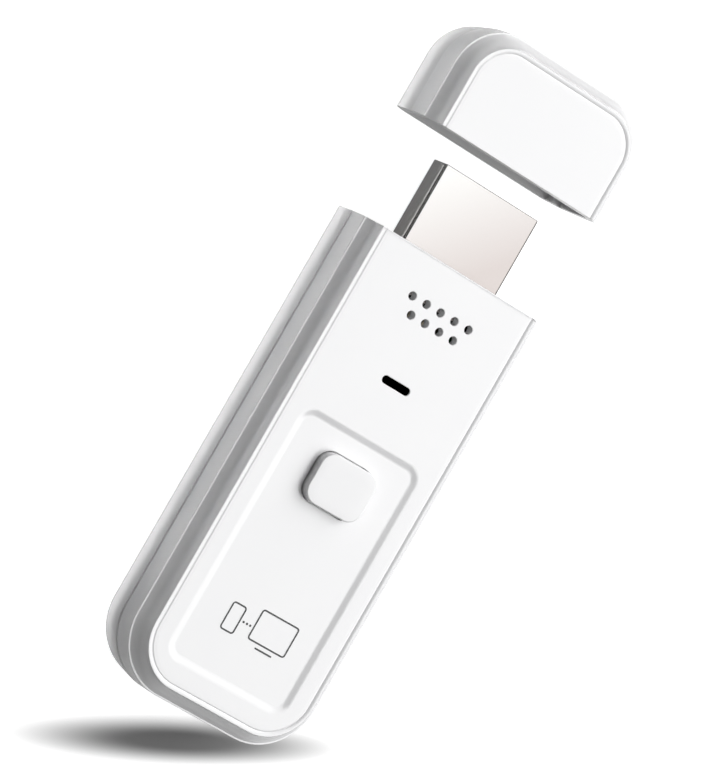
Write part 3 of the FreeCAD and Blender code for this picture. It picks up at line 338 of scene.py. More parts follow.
def upright(edge: bmesh.types.BMEdge) -> bool:
    """Whether an edge runs along Z."""
    way = edge.verts[1].co - edge.verts[0].co
    return abs(way.x) < NEAR and abs(way.y) < NEAR


def arc(centre: Point, radius: float, start: float, end: float, steps: int) -> list[Point]:
    """Points along an arc, without its first one.

    Args:
        centre: the centre, as inset and height.
        radius: the radius.
        start: the first angle in degrees, from the inset axis towards the height axis.
        end: the last angle in degrees.
        steps: the number of points.
    Returns:
        The points.
    """
    angles = [math.radians(start + (end - start) * step / steps) for step in range(1, steps + 1)]
    return [(centre[0] + radius * math.cos(angle), centre[1] + radius * math.sin(angle)) for angle in angles]


def rounding(start: Point, radius: float, steps: int) -> list[Point]:
    """Points of a quarter turn that starts upward at a point and ends level, without its first one."""
    return arc((start[0] + radius, start[1]), radius, 180, 90, steps)


@dataclass(frozen=True)
class EdgeSection:
    """The section of the long edges that housing and cap share, as inset and height."""

    band_inset: float = 1.5
    band_drop: float = 2.1
    cove_sag: float = 0.25
    cove_steps: int = 12
    crease_round: float = 0.04
    ledge: Point = (0.2, 0.005)
    rim_width: float = 0.33
    rim_height: float = 0.06
    rim_round: float = 0.05
    rim_shoulder: float = 0.015
    rim_slope: float = 0.2
    groove_depth: float = 0.045
    groove_width: float = 0.1
    hem_drop: float = 0.025
    hem_width: float = 0.5
    hem_steps: int = 5
    land: float = 0.12
    side_lean: float = 6.0
    back_round: float = 2.6
    back_steps: int = 12

    def front(self, parting: float, crease: float) -> list[Point]:
        """The way from the parting line up over the band and rim to the face."""
        lift = crease - parting
        top = lift + self.band_drop
        ledge = (self.ledge[0], lift + self.ledge[1])
        return [(0.0, lift - self.crease_round), (self.crease_round, lift), ledge,
                *self.cove(ledge), *self.rim(top), *self.hem(top)]

    def cove(self, foot: Point) -> list[Point]:
        """The hollow band from the ledge towards the rim."""
        run, rise = self.band_inset - self.ledge[0], self.band_drop - self.ledge[1]
        half_chord = math.hypot(run, rise) / 2
        radius = (half_chord ** 2 + self.cove_sag ** 2) / (2 * self.cove_sag)
        depth = radius - self.cove_sag
        lean = math.atan2(rise, run)
        spread = math.degrees(math.asin(half_chord / radius))
        middle = math.degrees(lean) - 90
        centre = (foot[0] + run / 2 - depth * math.sin(lean), foot[1] + rise / 2 + depth * math.cos(lean))
        return arc(centre, radius, middle - spread, middle + spread, self.cove_steps)[:-1]

    def rim(self, top: float) -> list[Point]:
        """The proud line: up its rounded side, across it and down its slope into the groove."""
        outer, inner = self.band_inset, self.band_inset + self.rim_width
        return [(outer, top - self.rim_round), (outer + self.rim_shoulder, top - self.rim_shoulder),
                (outer + self.rim_round, top), (inner - self.rim_round, top),
                (inner + self.rim_slope, top - self.rim_height - self.hem_drop - self.groove_depth)]

    def hem(self, top: float) -> list[Point]:
        """The face's own edge, which rises a little from the groove."""
        start = self.band_inset + self.rim_width + self.rim_slope + self.groove_width
        level = top - self.rim_height - self.hem_drop
        shares = [step / self.hem_steps for step in range(self.hem_steps + 1)]
        return [(start + self.hem_width * share, level + self.hem_drop * share) for share in shares]

    def rear(self, parting: float) -> list[Point]:
        """The way from the parting line down round the back edge, as inset and depth."""
        lean = math.radians(self.side_lean)
        turn = parting - self.back_round * (1 - math.sin(lean))
        inset = turn * math.tan(lean)
        centre = (inset + self.back_round * math.cos(lean), parting - self.back_round)
        return [(0, self.land), (inset, turn),
                *arc(centre, self.back_round, 180 - self.side_lean, 90, self.back_steps)]


@dataclass(frozen=True)
class StickPlan:
    """The plan that housing and cap share: square at one end, round corners at the other."""

    half_width: float
    square_end: float
    round_end: float
    radius: float = 7.2
    corner_steps: int = 24
    overrun: float = 4.0

    @property
    def side(self) -> int:
        """1 where the square end is the one nearer the plug's tip, otherwise -1."""
        return 1 if self.square_end > self.round_end else -1

    def plate(self, name: str, level: float, upward: bool, inset: float = 0.0,
              end_inset: float = 0.0) -> Workpiece:
        """A flat plate of this plan that runs on past the square end.

        Args:
            name: the piece's name.
            level: its height.
            upward: whether it faces up.
            inset: how far it is drawn in at its sides.
            end_inset: how far it is drawn in at its round end, where that differs.
        Returns:
            The plate.
        """
        half = self.half_width - inset
        near = self.round_end + self.side * (end_inset or inset)
        far = self.square_end + self.side * self.overrun
        plate = Workpiece.plate(name, (-half, min(near, far)), (half, max(near, far)), level, upward)
        plate.round_corners(self.radius - inset, self.corner_steps,
                            lambda corner: abs(corner.co.y - near) < NEAR)
        return plate


class NodeBench:
    """Builds one material's nodes round a Principled shader."""

    def __init__(self, name: str) -> None:
        """Makes the material with its shader and the object's own coordinates."""
        self.material = bpy.data.materials.new(name)
        self.material.use_nodes = True
        self.tree = self.material.node_tree
        self.shader = self.tree.nodes["Principled BSDF"]
        self.place = self.node("TexCoord").outputs["Object"]

    def set(self, socket: str, number: float | tuple) -> None:
        """Sets one of the shader's own sockets."""
        self.shader.inputs[socket].default_value = number

    def drive(self, socket: str, output: Socket) -> None:
        """Lets a node set one of the shader's own sockets."""
        self.link(output, self.shader.inputs[socket])

    def node(self, kind: str, **settings: object) -> bpy.types.Node:
        """Adds a shader node of a kind; a setting that names an input sets that input."""
        node = self.tree.nodes.new("ShaderNode" + kind)
        for key, setting in settings.items():
            name = key.replace("_", " ").title()
            if name in node.inputs:
                node.inputs[name].default_value = setting
            else:
                setattr(node, key, setting)
        return node

    def link(self, output: Socket, target: Socket) -> None:
        """Joins two sockets."""
        self.tree.links.new(output, target)

    def noise(self, grain: float, layers: float = 2.0, stretch: Place = (1.0, 1.0, 1.0)) -> Socket:
        """A noise whose features are about a grain wide.

        Args:
            grain: the width of a feature, in millimetres.
            layers: how many finer layers it has.
            stretch: how much finer it is along each axis.
        Returns:
            The noise's value.
        """
        mapping = self.node("Mapping", scale=stretch)
        self.link(self.place, mapping.inputs["Vector"])
        noise = self.node("TexNoise", scale=1 / (grain * MM), detail=layers)
        self.link(mapping.outputs["Vector"], noise.inputs["Vector"])
        return noise.outputs["Fac"]

    def between(self, share: Socket, low: Shade, high: Shade, span: Pair = (0.3, 0.7)) -> Socket:
        """Colours from one shade to another as a value goes over a span."""
        ramp = self.node("ValToRGB")
        for stop, place, shade in zip(ramp.color_ramp.elements, span, (low, high)):
            stop.position = place
            stop.color = (*shade, 1.0)
        self.link(share, ramp.inputs["Fac"])
        return ramp.outputs["Color"]

    def scaled(self, share: Socket, low: float, high: float, full: float = 1.0,
               curve: str = "LINEAR") -> Socket:
        """Numbers from low to high as a value goes from 0 to full."""
        scale = self.node("MapRange", interpolation_type=curve, from_max=full, to_min=low,
                          to_max=high)
        self.link(share, scale.inputs["Value"])
        return scale.outputs["Result"]

    def combine(self, operation: str, first: Socket, second: Socket | float) -> Socket:
        """The outcome of an operation on two values, or on a value and a number."""
        math_node = self.node("Math", operation=operation)
        self.link(first, math_node.inputs[0])
        if isinstance(second, float):
            math_node.inputs[1].default_value = second
        else:
            self.link(second, math_node.inputs[1])
        return math_node.outputs[0]

    def along(self, way: Place, start: float) -> Socket:
        """Numbers that grow along a direction, by its length for each metre, from a start."""
        run = self.node("VectorMath", operation="DOT_PRODUCT")
        run.inputs[1].default_value = way
        self.link(self.place, run.inputs[0])
        return self.combine("ADD", run.outputs["Value"], start)

    def bump(self, height: Socket, depth: float, strength: float = 1.0) -> None:
        """Raises the surface by up to a depth in millimetres."""
        bump = self.node("Bump", strength=strength, distance=depth * MM)
        self.link(height, bump.inputs["Height"])
        self.drive("Normal", bump.outputs["Normal"])


@dataclass(frozen=True)
class Finish:
    """What all finishes share: a name, a colour, and a roughness with how far it strays."""

    name: str
    colour: Shade
    roughness: float = 0.5
    uneven: float = 0.05

    def material(self) -> bpy.types.Material:
        """The finished material."""
        bench = NodeBench(self.name)
        bench.set("Base Color", (*self.colour, 1.0))
        self.work(bench)
        return bench.material

    def work(self, bench: NodeBench) -> None:
        """Adds what a kind of finish has beyond its plain colour."""
        bench.set("Roughness", self.roughness)

    def roughen(self, bench: NodeBench, share: Socket) -> None:
        """Lets the roughness stray with a value."""
        bench.drive("Roughness",
                    bench.scaled(share, self.roughness - self.uneven, self.roughness + self.uneven))


@dataclass(frozen=True)
class MouldedPlastic(Finish):
    """Smooth white plastic from a polished mould, with the faint waviness of a moulded wall."""

    roughness: float = 0.24
    uneven: float = 0.03
    coat: float = 1.0
    coat_roughness: float = 0.08
    warm: float = 0.006
    cloud: float = 9.0
    mottle: float = 1.4
    grain: float = 0.12
    relief: Pair = (0.0012, 0.35)  # depth and strength

    def work(self, bench: NodeBench) -> None:
        """Adds clouds of a slightly warmer shade, waves and the gloss on top."""
        pale = tuple(min(part + self.warm, 1.0) for part in self.colour)
        deep = (self.colour[0] - self.warm, self.colour[1] - self.warm, self.colour[2] - self.warm / 2)
        bench.drive("Base Color", bench.between(bench.noise(self.cloud), deep, pale))
        self.roughen(bench, bench.noise(self.mottle))
        bench.bump(bench.noise(self.grain), *self.relief)
        bench.set("Coat Weight", self.coat)
        bench.set("Coat Roughness", self.coat_roughness)


@dataclass(frozen=True)
class PlatedSheet(Finish):
    """Plated sheet metal: a fine rolled grain along one axis, its tint drifting at random or, as a painted
    sheen, running along a way.
    """

    roughness: float = 0.22
    uneven: float = 0.03
    tint: Shade = (0.62, 0.55, 0.52)
    drift: Pair = (7.0, 1.0)  # width of a feature, and layers
    grain: Pair = (0.05, 3.0)  # the same
    stretch: Place = (1.0, 0.04, 1.0)
    relief: Pair = (0.0006, 0.05)  # depth and strength
    # painted sheen: when a way is given, the colour runs from tint to colour along it, darker on one side
    # and lighter on the other
    painted_sheen: Place | None = None
    painted_sheen_start: float = 0.0

    def work(self, bench: NodeBench) -> None:
        """Adds the metal, its change of tint (random drift, or the painted sheen along a way) and its rolled
        grain.
        """
        bench.set("Metallic", 1.0)
        # painted sheen where a way is given, otherwise a random drift of tint
        share = bench.along(self.painted_sheen, self.painted_sheen_start) if self.painted_sheen else bench.noise(*self.drift)
        bench.drive("Base Color", bench.between(share, self.tint, self.colour))
        rolled = bench.noise(*self.grain, self.stretch)
        self.roughen(bench, rolled)
        bench.bump(rolled, *self.relief)


@dataclass(frozen=True)
class PlainResin(Finish):
    """Matt or glossy resin with a fine grain: plug cores, chips, the smoked lens, rubber pads."""

    cloud: float = 0.9
    variation: float = 0.25
    grain: float = 0.08
    depth: float = 0.003
    strength: float = 0.4

    def work(self, bench: NodeBench) -> None:
        """Adds a clouded shade and a grain."""
        deep = tuple(part * (1 - self.variation) for part in self.colour)
        bench.drive("Base Color", bench.between(bench.noise(self.cloud), deep, self.colour))
        grain = bench.noise(self.grain)
        self.roughen(bench, grain)
        bench.bump(grain, self.depth, self.strength)


@dataclass(frozen=True)
class BoardLacquer(Finish):
    """Solder lacquer over copper tracks."""

    roughness: float = 0.315
    uneven: float = 0.065
    track: Shade = (0.03, 0.16, 0.07)
    pitch: float = 0.9
    track_width: float = 0.06
    track_span: Pair = (0.4, 0.6)
    mottle: float = 0.4
    relief: Pair = (0.02, 0.5)  # depth and strength

    def work(self, bench: NodeBench) -> None:
        """Adds the tracks, raised under the lacquer."""
        tracks = bench.node("TexBrick", scale=1 / (self.pitch * MM), mortar_size=self.track_width)
        bench.link(bench.place, tracks.inputs["Vector"])
        share = tracks.outputs["Fac"]
        bench.drive("Base Color", bench.between(share, self.colour, self.track, self.track_span))
        self.roughen(bench, bench.noise(self.mottle))
        bench.bump(share, *self.relief)


@dataclass(frozen=True)
class PrintedInk(Finish):
    """Pad-printed ink, a little uneven in its cover."""

    roughness: float = 0.55
    thinning: float = 0.05
    cloud: float = 0.25
    grain: float = 0.1
    relief: Pair = (0.002, 0.5)  # depth and strength

    def work(self, bench: NodeBench) -> None:
        """Adds thin places and a grain."""
        thin = tuple(part + self.thinning for part in self.colour)
        bench.drive("Base Color", bench.between(bench.noise(self.cloud), self.colour, thin))
        bench.set("Roughness", self.roughness)
        bench.bump(bench.noise(self.grain), *self.relief)


@cache
def material_of(finish: Finish) -> bpy.types.Material:
    """The material of a finish, made once."""
    return finish.material()


WHITE_PLASTIC = MouldedPlastic("white_plastic", (0.82, 0.82, 0.825))
CAP_PLASTIC = MouldedPlastic("cap_plastic", (0.82, 0.82, 0.825))
BUTTON_PLASTIC = MouldedPlastic("button_plastic", (0.79, 0.79, 0.795), roughness=0.2)
SMOKED_LENS = PlainResin("smoked_lens", (0.012, 0.012, 0.014), roughness=0.12, depth=0.0005)
# painted sheen: the plug is painted lighter towards -X and its tip, darker towards +X and the housing
PLUG_NICKEL = PlatedSheet("plug_nickel", (0.37, 0.366, 0.36), tint=(0.285, 0.262, 0.252),
                          painted_sheen=(-24.0, 24.0, 0.0), painted_sheen_start=-0.33)
PICTOGRAM_INK = PrintedInk("pictogram_ink", (0.035, 0.035, 0.037))

# the finishes of the CAD nodes whose own shape stays
INNER_FINISHES: dict[Finish, tuple[str, ...]] = {
    PlatedSheet("inlet_nickel", (0.6, 0.6, 0.61), roughness=0.3): ("usb_c_shell",),
    PlainResin("black_core", (0.02, 0.02, 0.021)): ("hdmi_insulator", "usb_c_insulator"),
    PlatedSheet("gold_contact", (0.5, 0.44, 0.34), roughness=0.3, tint=(0.42, 0.37, 0.28)):
        ("hdmi_contacts", "usb_c_contacts"),
    BoardLacquer("circuit_board", (0.01, 0.08, 0.035)): ("main_board",),
    BoardLacquer("radio_board", (0.01, 0.04, 0.09), track=(0.03, 0.1, 0.18)): ("wifi_board",),
    PlainResin("chip_resin", (0.03, 0.03, 0.032), roughness=0.62, depth=0.006):
        ("processor_chip", "memory_chip", "flash_chip", "voltage_regulators", "surge_arrays"),
    PlatedSheet("tin_sheet", (0.72, 0.73, 0.74), roughness=0.36, tint=(0.62, 0.62, 0.63)):
        ("wifi_shield", "crystals"),
    PlatedSheet("spring_steel", (0.66, 0.66, 0.67), roughness=0.2): ("switch_cover", "switch_dome"),
    PlatedSheet("sink_aluminium", (0.8, 0.81, 0.82), roughness=0.42, tint=(0.72, 0.73, 0.74)):
        ("heat_sink",),
    PlainResin("pad_silicone", (0.35, 0.38, 0.42), roughness=0.8, depth=0.01): ("thermal_pad",),
    PlainResin("ceramic_white", (0.74, 0.73, 0.7), roughness=0.45, variation=0.05): ("chip_antennas",),
    PlainResin("ceramic_tan", (0.46, 0.33, 0.2), roughness=0.45, variation=0.15): ("capacitors",),
    PlainResin("ferrite_grey", (0.1, 0.1, 0.105), roughness=0.6): ("power_inductors", "resistors"),
    PlainResin("lamp_resin", (0.8, 0.8, 0.72), roughness=0.25, variation=0.05): ("status_led",),
    PlainResin("switch_black", (0.03, 0.03, 0.03), roughness=0.45): ("switch_base", "switch_plunger"),
}


@dataclass
class Housing:
    """The two moulded halves of the stick, with the lens and the print on the front one."""

    parting_edge: float = 0.04
    parting_steps: int = 2
    parting_gap: float = 0.2
    end_edge: float = 0.025
    lip_height: float = 0.9
    lip_setback: float = 0.7
    back_step: float = 1.2
    rebate: float = 0.65
    rebate_depth: float = 0.95
    vent_diameter: float = 1.0
    vent_pitch: float = 2.05
    vent_rows: tuple[tuple[int, float], ...] = ((5, 4.9), (4, 6.8))
    vent_shift: float = 0.3
    vent_sides: int = 40
    brim: float = 0.05
    brim_steps: int = 3
    corner_steps: int = 14
    light_size: Pair = (3.9, 0.95)
    light_setback: float = 14.3
    lens_gap: float = 0.06
    lens_recess: float = 0.15
    lens_round: float = 0.12
    flange_thickness: float = 0.6
    stem_half: Pair = (0.8, 0.4)
    stem_overlap: float = 0.3
    panel_width: float = 17.4
    panel_length: float = 31.9
    panel_radius: float = 2.2
    panel_corner_steps: int = 12
    panel_slope: float = 1.05
    panel_slope_steps: int = 10
    panel_depth: float = 0.25
    panel_ease: float = 0.75
    panel_setback: float = 4.3
    opening_gap: float = 0.13
    opening_radius: float = 1.9
    plug_gap: float = 0.1
    inlet_size: Pair = (8.94, 3.16)
    inlet_gap: float = 0.12
    inlet_overlap: float = 0.2
    end_line: Pair = (0.14, 0.09)  # distance from the end, and width
    end_line_depth: float = 0.16
    sign_place: Point = (0.5, 12.2)
    section: EdgeSection = EdgeSection()

    def __post_init__(self) -> None:
        """Reads the places that the frame gives."""
        front = Extent.of("front_shell")
        self.top = front.high.z
        self.face = self.top - self.section.rim_height
        self.crease = self.top - self.section.band_drop
        self.parting = front.low.z + self.lip_height
        self.plug_end, self.inlet_end = front.high.y, front.low.y
        self.plan = StickPlan(front.high.x, self.plug_end, self.inlet_end)
        self.above = self.top + CLEAR

    def build(self) -> None:
        """Makes and dresses both halves, the lens and the print."""
        self.front()
        self.rear()
        self.lens()
        middle = (self.sign_place[X], self.inlet_end + self.sign_place[Y])
        Pictogram(level=self.face - self.panel_depth, middle=middle).build()

    def front(self) -> None:
        """The front half, with its band, rim line, panel and holes."""
        shell = self.plan.plate("front_half", self.parting, True)
        shell.raise_up(self.section.front(self.parting, self.crease))
        shell.bevel_edges(self.parting_edge, self.parting_steps, lambda edge: at(edge, Z, self.parting))
        shell.trim(self.plug_end, 1, self.end_edge)
        setback = self.lip_setback - self.parting_edge
        shell.grow_down(self.parting, [(setback, NEAR), (setback, self.lip_height)])
        shell.cut(self.front_room(), self.panel(), *self.vents(), self.slot(), self.button_opening(),
                  self.plug_opening(), self.inlet_opening(), self.end_groove())
        shell.settle(Body.HOUSING, "white_plastic", WHITE_PLASTIC, "front_shell")

    def end_groove(self) -> Workpiece:
        """The cutter of the fine line across the face beside the plug end."""
        half = self.plan.half_width - self.section.band_inset
        setback, width = self.end_line
        far = self.plug_end - setback
        return Workpiece.block("end_groove", (-half, far - width, self.face - self.end_line_depth),
                               (half, far, self.above))

    def front_room(self) -> Workpiece:
        """The space inside the front half."""
        start = self.parting - 2 * self.lip_height
        room = self.plan.plate("front_room", start, True, WALL)
        lift, inset = self.crease - start, self.section.band_inset
        room.raise_up([(0, lift), (inset, lift + NEAR), (inset, self.face - WALL - start)])
        room.trim(self.plug_end - WALL, 1, 0)
        return room

    def panel(self) -> Workpiece:
        """The cutter of the recessed panel, with its soft slope."""
        low = self.inlet_end + self.panel_setback
        half = self.panel_width / 2
        cutter = Workpiece.plate("panel", (-half, low), (half, low + self.panel_length), self.above, False)
        cutter.round_corners(self.panel_radius, self.panel_corner_steps)
        start = self.above - self.face
        section = [(0, start)]
        for step in range(1, self.panel_slope_steps + 1):
            share = step / self.panel_slope_steps
            eased = 3 * share ** 2 - 2 * share ** 3
            depth = self.panel_depth * (share + self.panel_ease * (eased - share))
            section.append((self.panel_slope * share, start + depth))
        cutter.raise_up(section)
        return cutter

    def flared_hole(self, cutter: Workpiece) -> Workpiece:
        """Carries a hole's cutter down through the face, with a rounded brim at the face."""
        start = self.above - self.face
        cutter.raise_up([(0, start), *rounding((0, start), self.brim, self.brim_steps),
                         (self.brim, start + 2 * WALL)])
        return cutter

    def vents(self) -> list[Workpiece]:
        """The cutters of the two staggered rows of vent holes."""
        diameter = self.vent_diameter + 2 * self.brim
        cutters = []
        for count, setback in self.vent_rows:
            for number in range(count):
                across = (number - (count - 1) / 2) * self.vent_pitch + self.vent_shift
                disc = Workpiece.disc("vent", (across, self.plug_end - setback), diameter, self.above,
                                      self.vent_sides)
                cutters.append(self.flared_hole(disc))
        return cutters

    def pill(self, name: str, grow: float, level: float) -> Workpiece:
        """A flat plate of the light slot's outline, grown by an amount, that faces down."""
        across, along = (side / 2 + grow for side in self.light_size)
        middle = self.plug_end - self.light_setback
        plate = Workpiece.plate(name, (-across, middle - along), (across, middle + along), level, False)
        plate.round_corners(along * FULL_ROUND, self.corner_steps)
        return plate

    def slot(self) -> Workpiece:
        """The cutter of the light slot."""
        return self.flared_hole(self.pill("slot", self.brim, self.above))

    def button_opening(self) -> Workpiece:
        """The cutter of the button's opening."""
        button = Button()
        gap = self.opening_gap + self.brim
        cutter = Workpiece.plate("opening", (button.low.x - gap, button.low.y - gap),
                                 (button.high.x + gap, button.high.y + gap), self.above, False)
        cutter.round_corners(self.opening_radius + self.brim, self.corner_steps)
        return self.flared_hole(cutter)

    def plug_opening(self) -> Workpiece:
        """The cutter of the plug's opening in the end wall."""
        return PlugShell().section_block("plug_opening", self.plug_gap, self.plug_end - 2 * WALL,
                                         self.plug_end + CLEAR)

    def inlet_opening(self) -> Workpiece:
        """The cutter of the power inlet's opening in the end wall."""
        middle = Extent.of("usb_c_insulator").middle.z
        across, along = (side / 2 + self.inlet_gap for side in self.inlet_size)
        near, far = self.inlet_end - CLEAR, self.inlet_end + WALL + self.inlet_overlap
        cutter = Workpiece.block("inlet_opening", (-across, near, middle - along),
                                 (across, far, middle + along))
        cutter.bevel_edges(along * FULL_ROUND, self.corner_steps, along_stick)
        return cutter

    def rear(self) -> None:
        """The rear half, which leans in and turns under."""
        top = self.parting - self.parting_gap
        shell = self.plan.plate("rear_half", top, False)
        shell.raise_up(self.section.rear(top))
        shell.bevel_edges(self.parting_edge, self.parting_steps, lambda edge: at(edge, Z, top))
        shell.trim(self.plug_end, 1, self.end_edge)
        shell.cut(self.rear_room(), self.plug_opening(), self.inlet_opening())
        shell.settle(Body.HOUSING, "white_plastic", WHITE_PLASTIC, "rear_shell")

    def rear_room(self) -> Workpiece:
        """The space inside the rear half: the lip's rebate, the walls, and a step at the back edge."""
        start = self.parting + CLEAR
        room = self.plan.plate("rear_room", start, False, self.rebate)
        rebate_end, turn = CLEAR + self.rebate_depth, start - self.section.back_round
        step = WALL - self.rebate
        inner = step + self.back_step
        room.raise_up([(0, rebate_end), (step, rebate_end + NEAR), (step, turn), (inner, turn + NEAR),
                       (inner, start - WALL)])
        room.trim(self.plug_end - WALL, 1, 0)
        return room

    def lens(self) -> None:
        """The smoked lens in the slot, with its flange under the face and its stem to the lamp."""
        pipe = Extent.of("light_pipe")
        ceiling = self.face - WALL
        lens = self.pill("lens", -self.lens_gap, ceiling)
        lens.turn_over()
        shoulder = (0, WALL - self.lens_recess - self.lens_round)
        lens.raise_up([shoulder, *rounding(shoulder, self.lens_round, self.brim_steps)])
        flange = Workpiece.block("flange", (pipe.low.x, pipe.low.y, ceiling - self.flange_thickness),
                                 (pipe.high.x, pipe.high.y, ceiling))
        across, along = self.stem_half
        middle = pipe.middle.y
        stem = Workpiece.block("stem", (-across, middle - along, pipe.low.z),
                               (across, middle + along, ceiling - self.stem_overlap))
        flange.combine(stem, "UNION")
        lens.combine(flange, "UNION")
        lens.settle(Body.HOUSING, "smoked_lens", SMOKED_LENS, "light_pipe")


@dataclass
class Pictogram:
    """A generic printed sign: a wide screen on its foot, an upright handset, three dots between."""

    level: float
    middle: Point
    line: float = 0.19
    lift: float = 0.006
    ink: float = 0.012
    screen: Box = (-0.8, -1.8, 4.5, 2.0)
    handset: Box = (-4.5, -2.25, -2.55, 1.2)
    foot: Box = (0.65, -2.4, 3.05, -2.2)
    foot_round: float = 0.09
    foot_steps: int = 4
    corner: float = 0.4
    corner_steps: int = 8
    dots: tuple[Point, ...] = ((-2.15, -0.4), (-1.67, -0.4), (-1.2, -0.4))
    dot: float = 0.28
    dot_sides: int = 20

    def build(self) -> None:
        """Makes the strokes and dots and joins them in one piece of ink."""
        sign = self.outline("screen", self.screen)
        strokes = [self.outline("handset", self.handset), self.bar("foot", self.foot)]
        strokes += [self.mark(place) for place in self.dots]
        sign.take_up()
        for stroke in strokes:
            stroke.thing.select_set(True)
        bpy.ops.object.join()
        sign.thing.name = "pictogram"
        sign.settle(Body.HOUSING, "smoked_lens", PICTOGRAM_INK)

    def at_sign(self, place: Point) -> Point:
        """A place that is counted from the sign's middle."""
        return (self.middle[X] + place[X], self.middle[Y] + place[Y])

    def plate(self, name: str, box: Box) -> Workpiece:
        """A flat plate at the sign's place, just over the panel."""
        return Workpiece.plate(name, self.at_sign(box[:2]), self.at_sign(box[2:]), self.level + self.lift)

    def outline(self, name: str, box: Box) -> Workpiece:
        """A rounded rectangle drawn as a line."""
        stroke = self.plate(name, box)
        stroke.round_corners(self.corner, self.corner_steps)
        with stroke.edit(Element.FACE):
            bpy.ops.mesh.inset(thickness=self.line, depth=0, use_even_offset=True)
            bpy.ops.mesh.delete(type="FACE")
            bpy.ops.mesh.select_all(action="SELECT")
            push_out(self.ink)
            face_outward()
        return stroke

    def bar(self, name: str, box: Box) -> Workpiece:
        """A filled bar."""
        bar = self.plate(name, box)
        bar.round_corners(self.foot_round, self.foot_steps)
        bar.raise_up([(0, self.ink)])
        return bar

    def mark(self, place: Point) -> Workpiece:
        """A filled dot."""
        level = self.level + self.lift + self.ink
        mark = Workpiece.disc("dot", self.at_sign(place), self.dot, level, self.dot_sides)
        mark.raise_up([(0, self.ink)])
        return mark


@dataclass
class Button:
    """The raised push button, with its collar under the face and its post to the switch."""

    flange: float = 0.7
    flange_thickness: float = 0.6
    play: float = 0.1
    radius: float = 1.7
    corner_steps: int = 14
    edge: float = 0.17
    edge_steps: int = 8
    crown: float = 0.05
    crown_width: float = 1.1
    crown_steps: int = 5
    wall: float = 0.9
    post: float = 2.6
    post_sides: int = 32

    def __post_init__(self) -> None:
        """Reads the button's box, and works out its part above the collar and the collar's underside."""
        self.whole = Extent.of("button_key")
        inward = Vector((self.flange, self.flange, 0))
        self.low, self.high = self.whole.low + inward, self.whole.high - inward
        face = Extent.of("front_shell").high.z - EdgeSection().rim_height
        self.collar = face - WALL - self.play - self.flange_thickness

    def build(self) -> None:
        """Makes and dresses the button."""
        low, high = self.whole.low, self.whole.high
        key = Workpiece.plate("push_button", (low.x, low.y), (high.x, high.y), self.collar)
        key.round_corners(self.radius + self.flange, self.corner_steps)
        key.raise_up(self.profile(high.z - self.collar))
        ceiling = high.z - self.wall
        key.cut(Workpiece.block(
            "button_room", (self.low.x + self.wall, self.low.y + self.wall, self.collar - CLEAR),
            (self.high.x - self.wall, self.high.y - self.wall, ceiling)))
        post_top = ceiling + self.wall / 2
        middle = self.whole.middle
        post = Workpiece.disc("button_post", (middle.x, middle.y), self.post, post_top, self.post_sides)
        post.raise_up([(0, post_top - low.z)])
        key.combine(post, "UNION")
        key.settle(Body.BUTTON, "button_plastic", BUTTON_PLASTIC, "button_key")

    def profile(self, height: float) -> list[Point]:
        """The way from the collar's underside over its edge and up to the crowned top."""
        side, shoulder = self.flange, height - self.edge - self.crown
        points = [(0, self.flange_thickness), (side, self.flange_thickness + NEAR), (side, shoulder),
                  *rounding((side, shoulder), self.edge, self.edge_steps)]
        for step in range(1, self.crown_steps + 1):
            share = step / self.crown_steps
            points.append((side + self.edge + self.crown_width * share,
                           height - self.crown * (1 - share) ** 2))
        return points


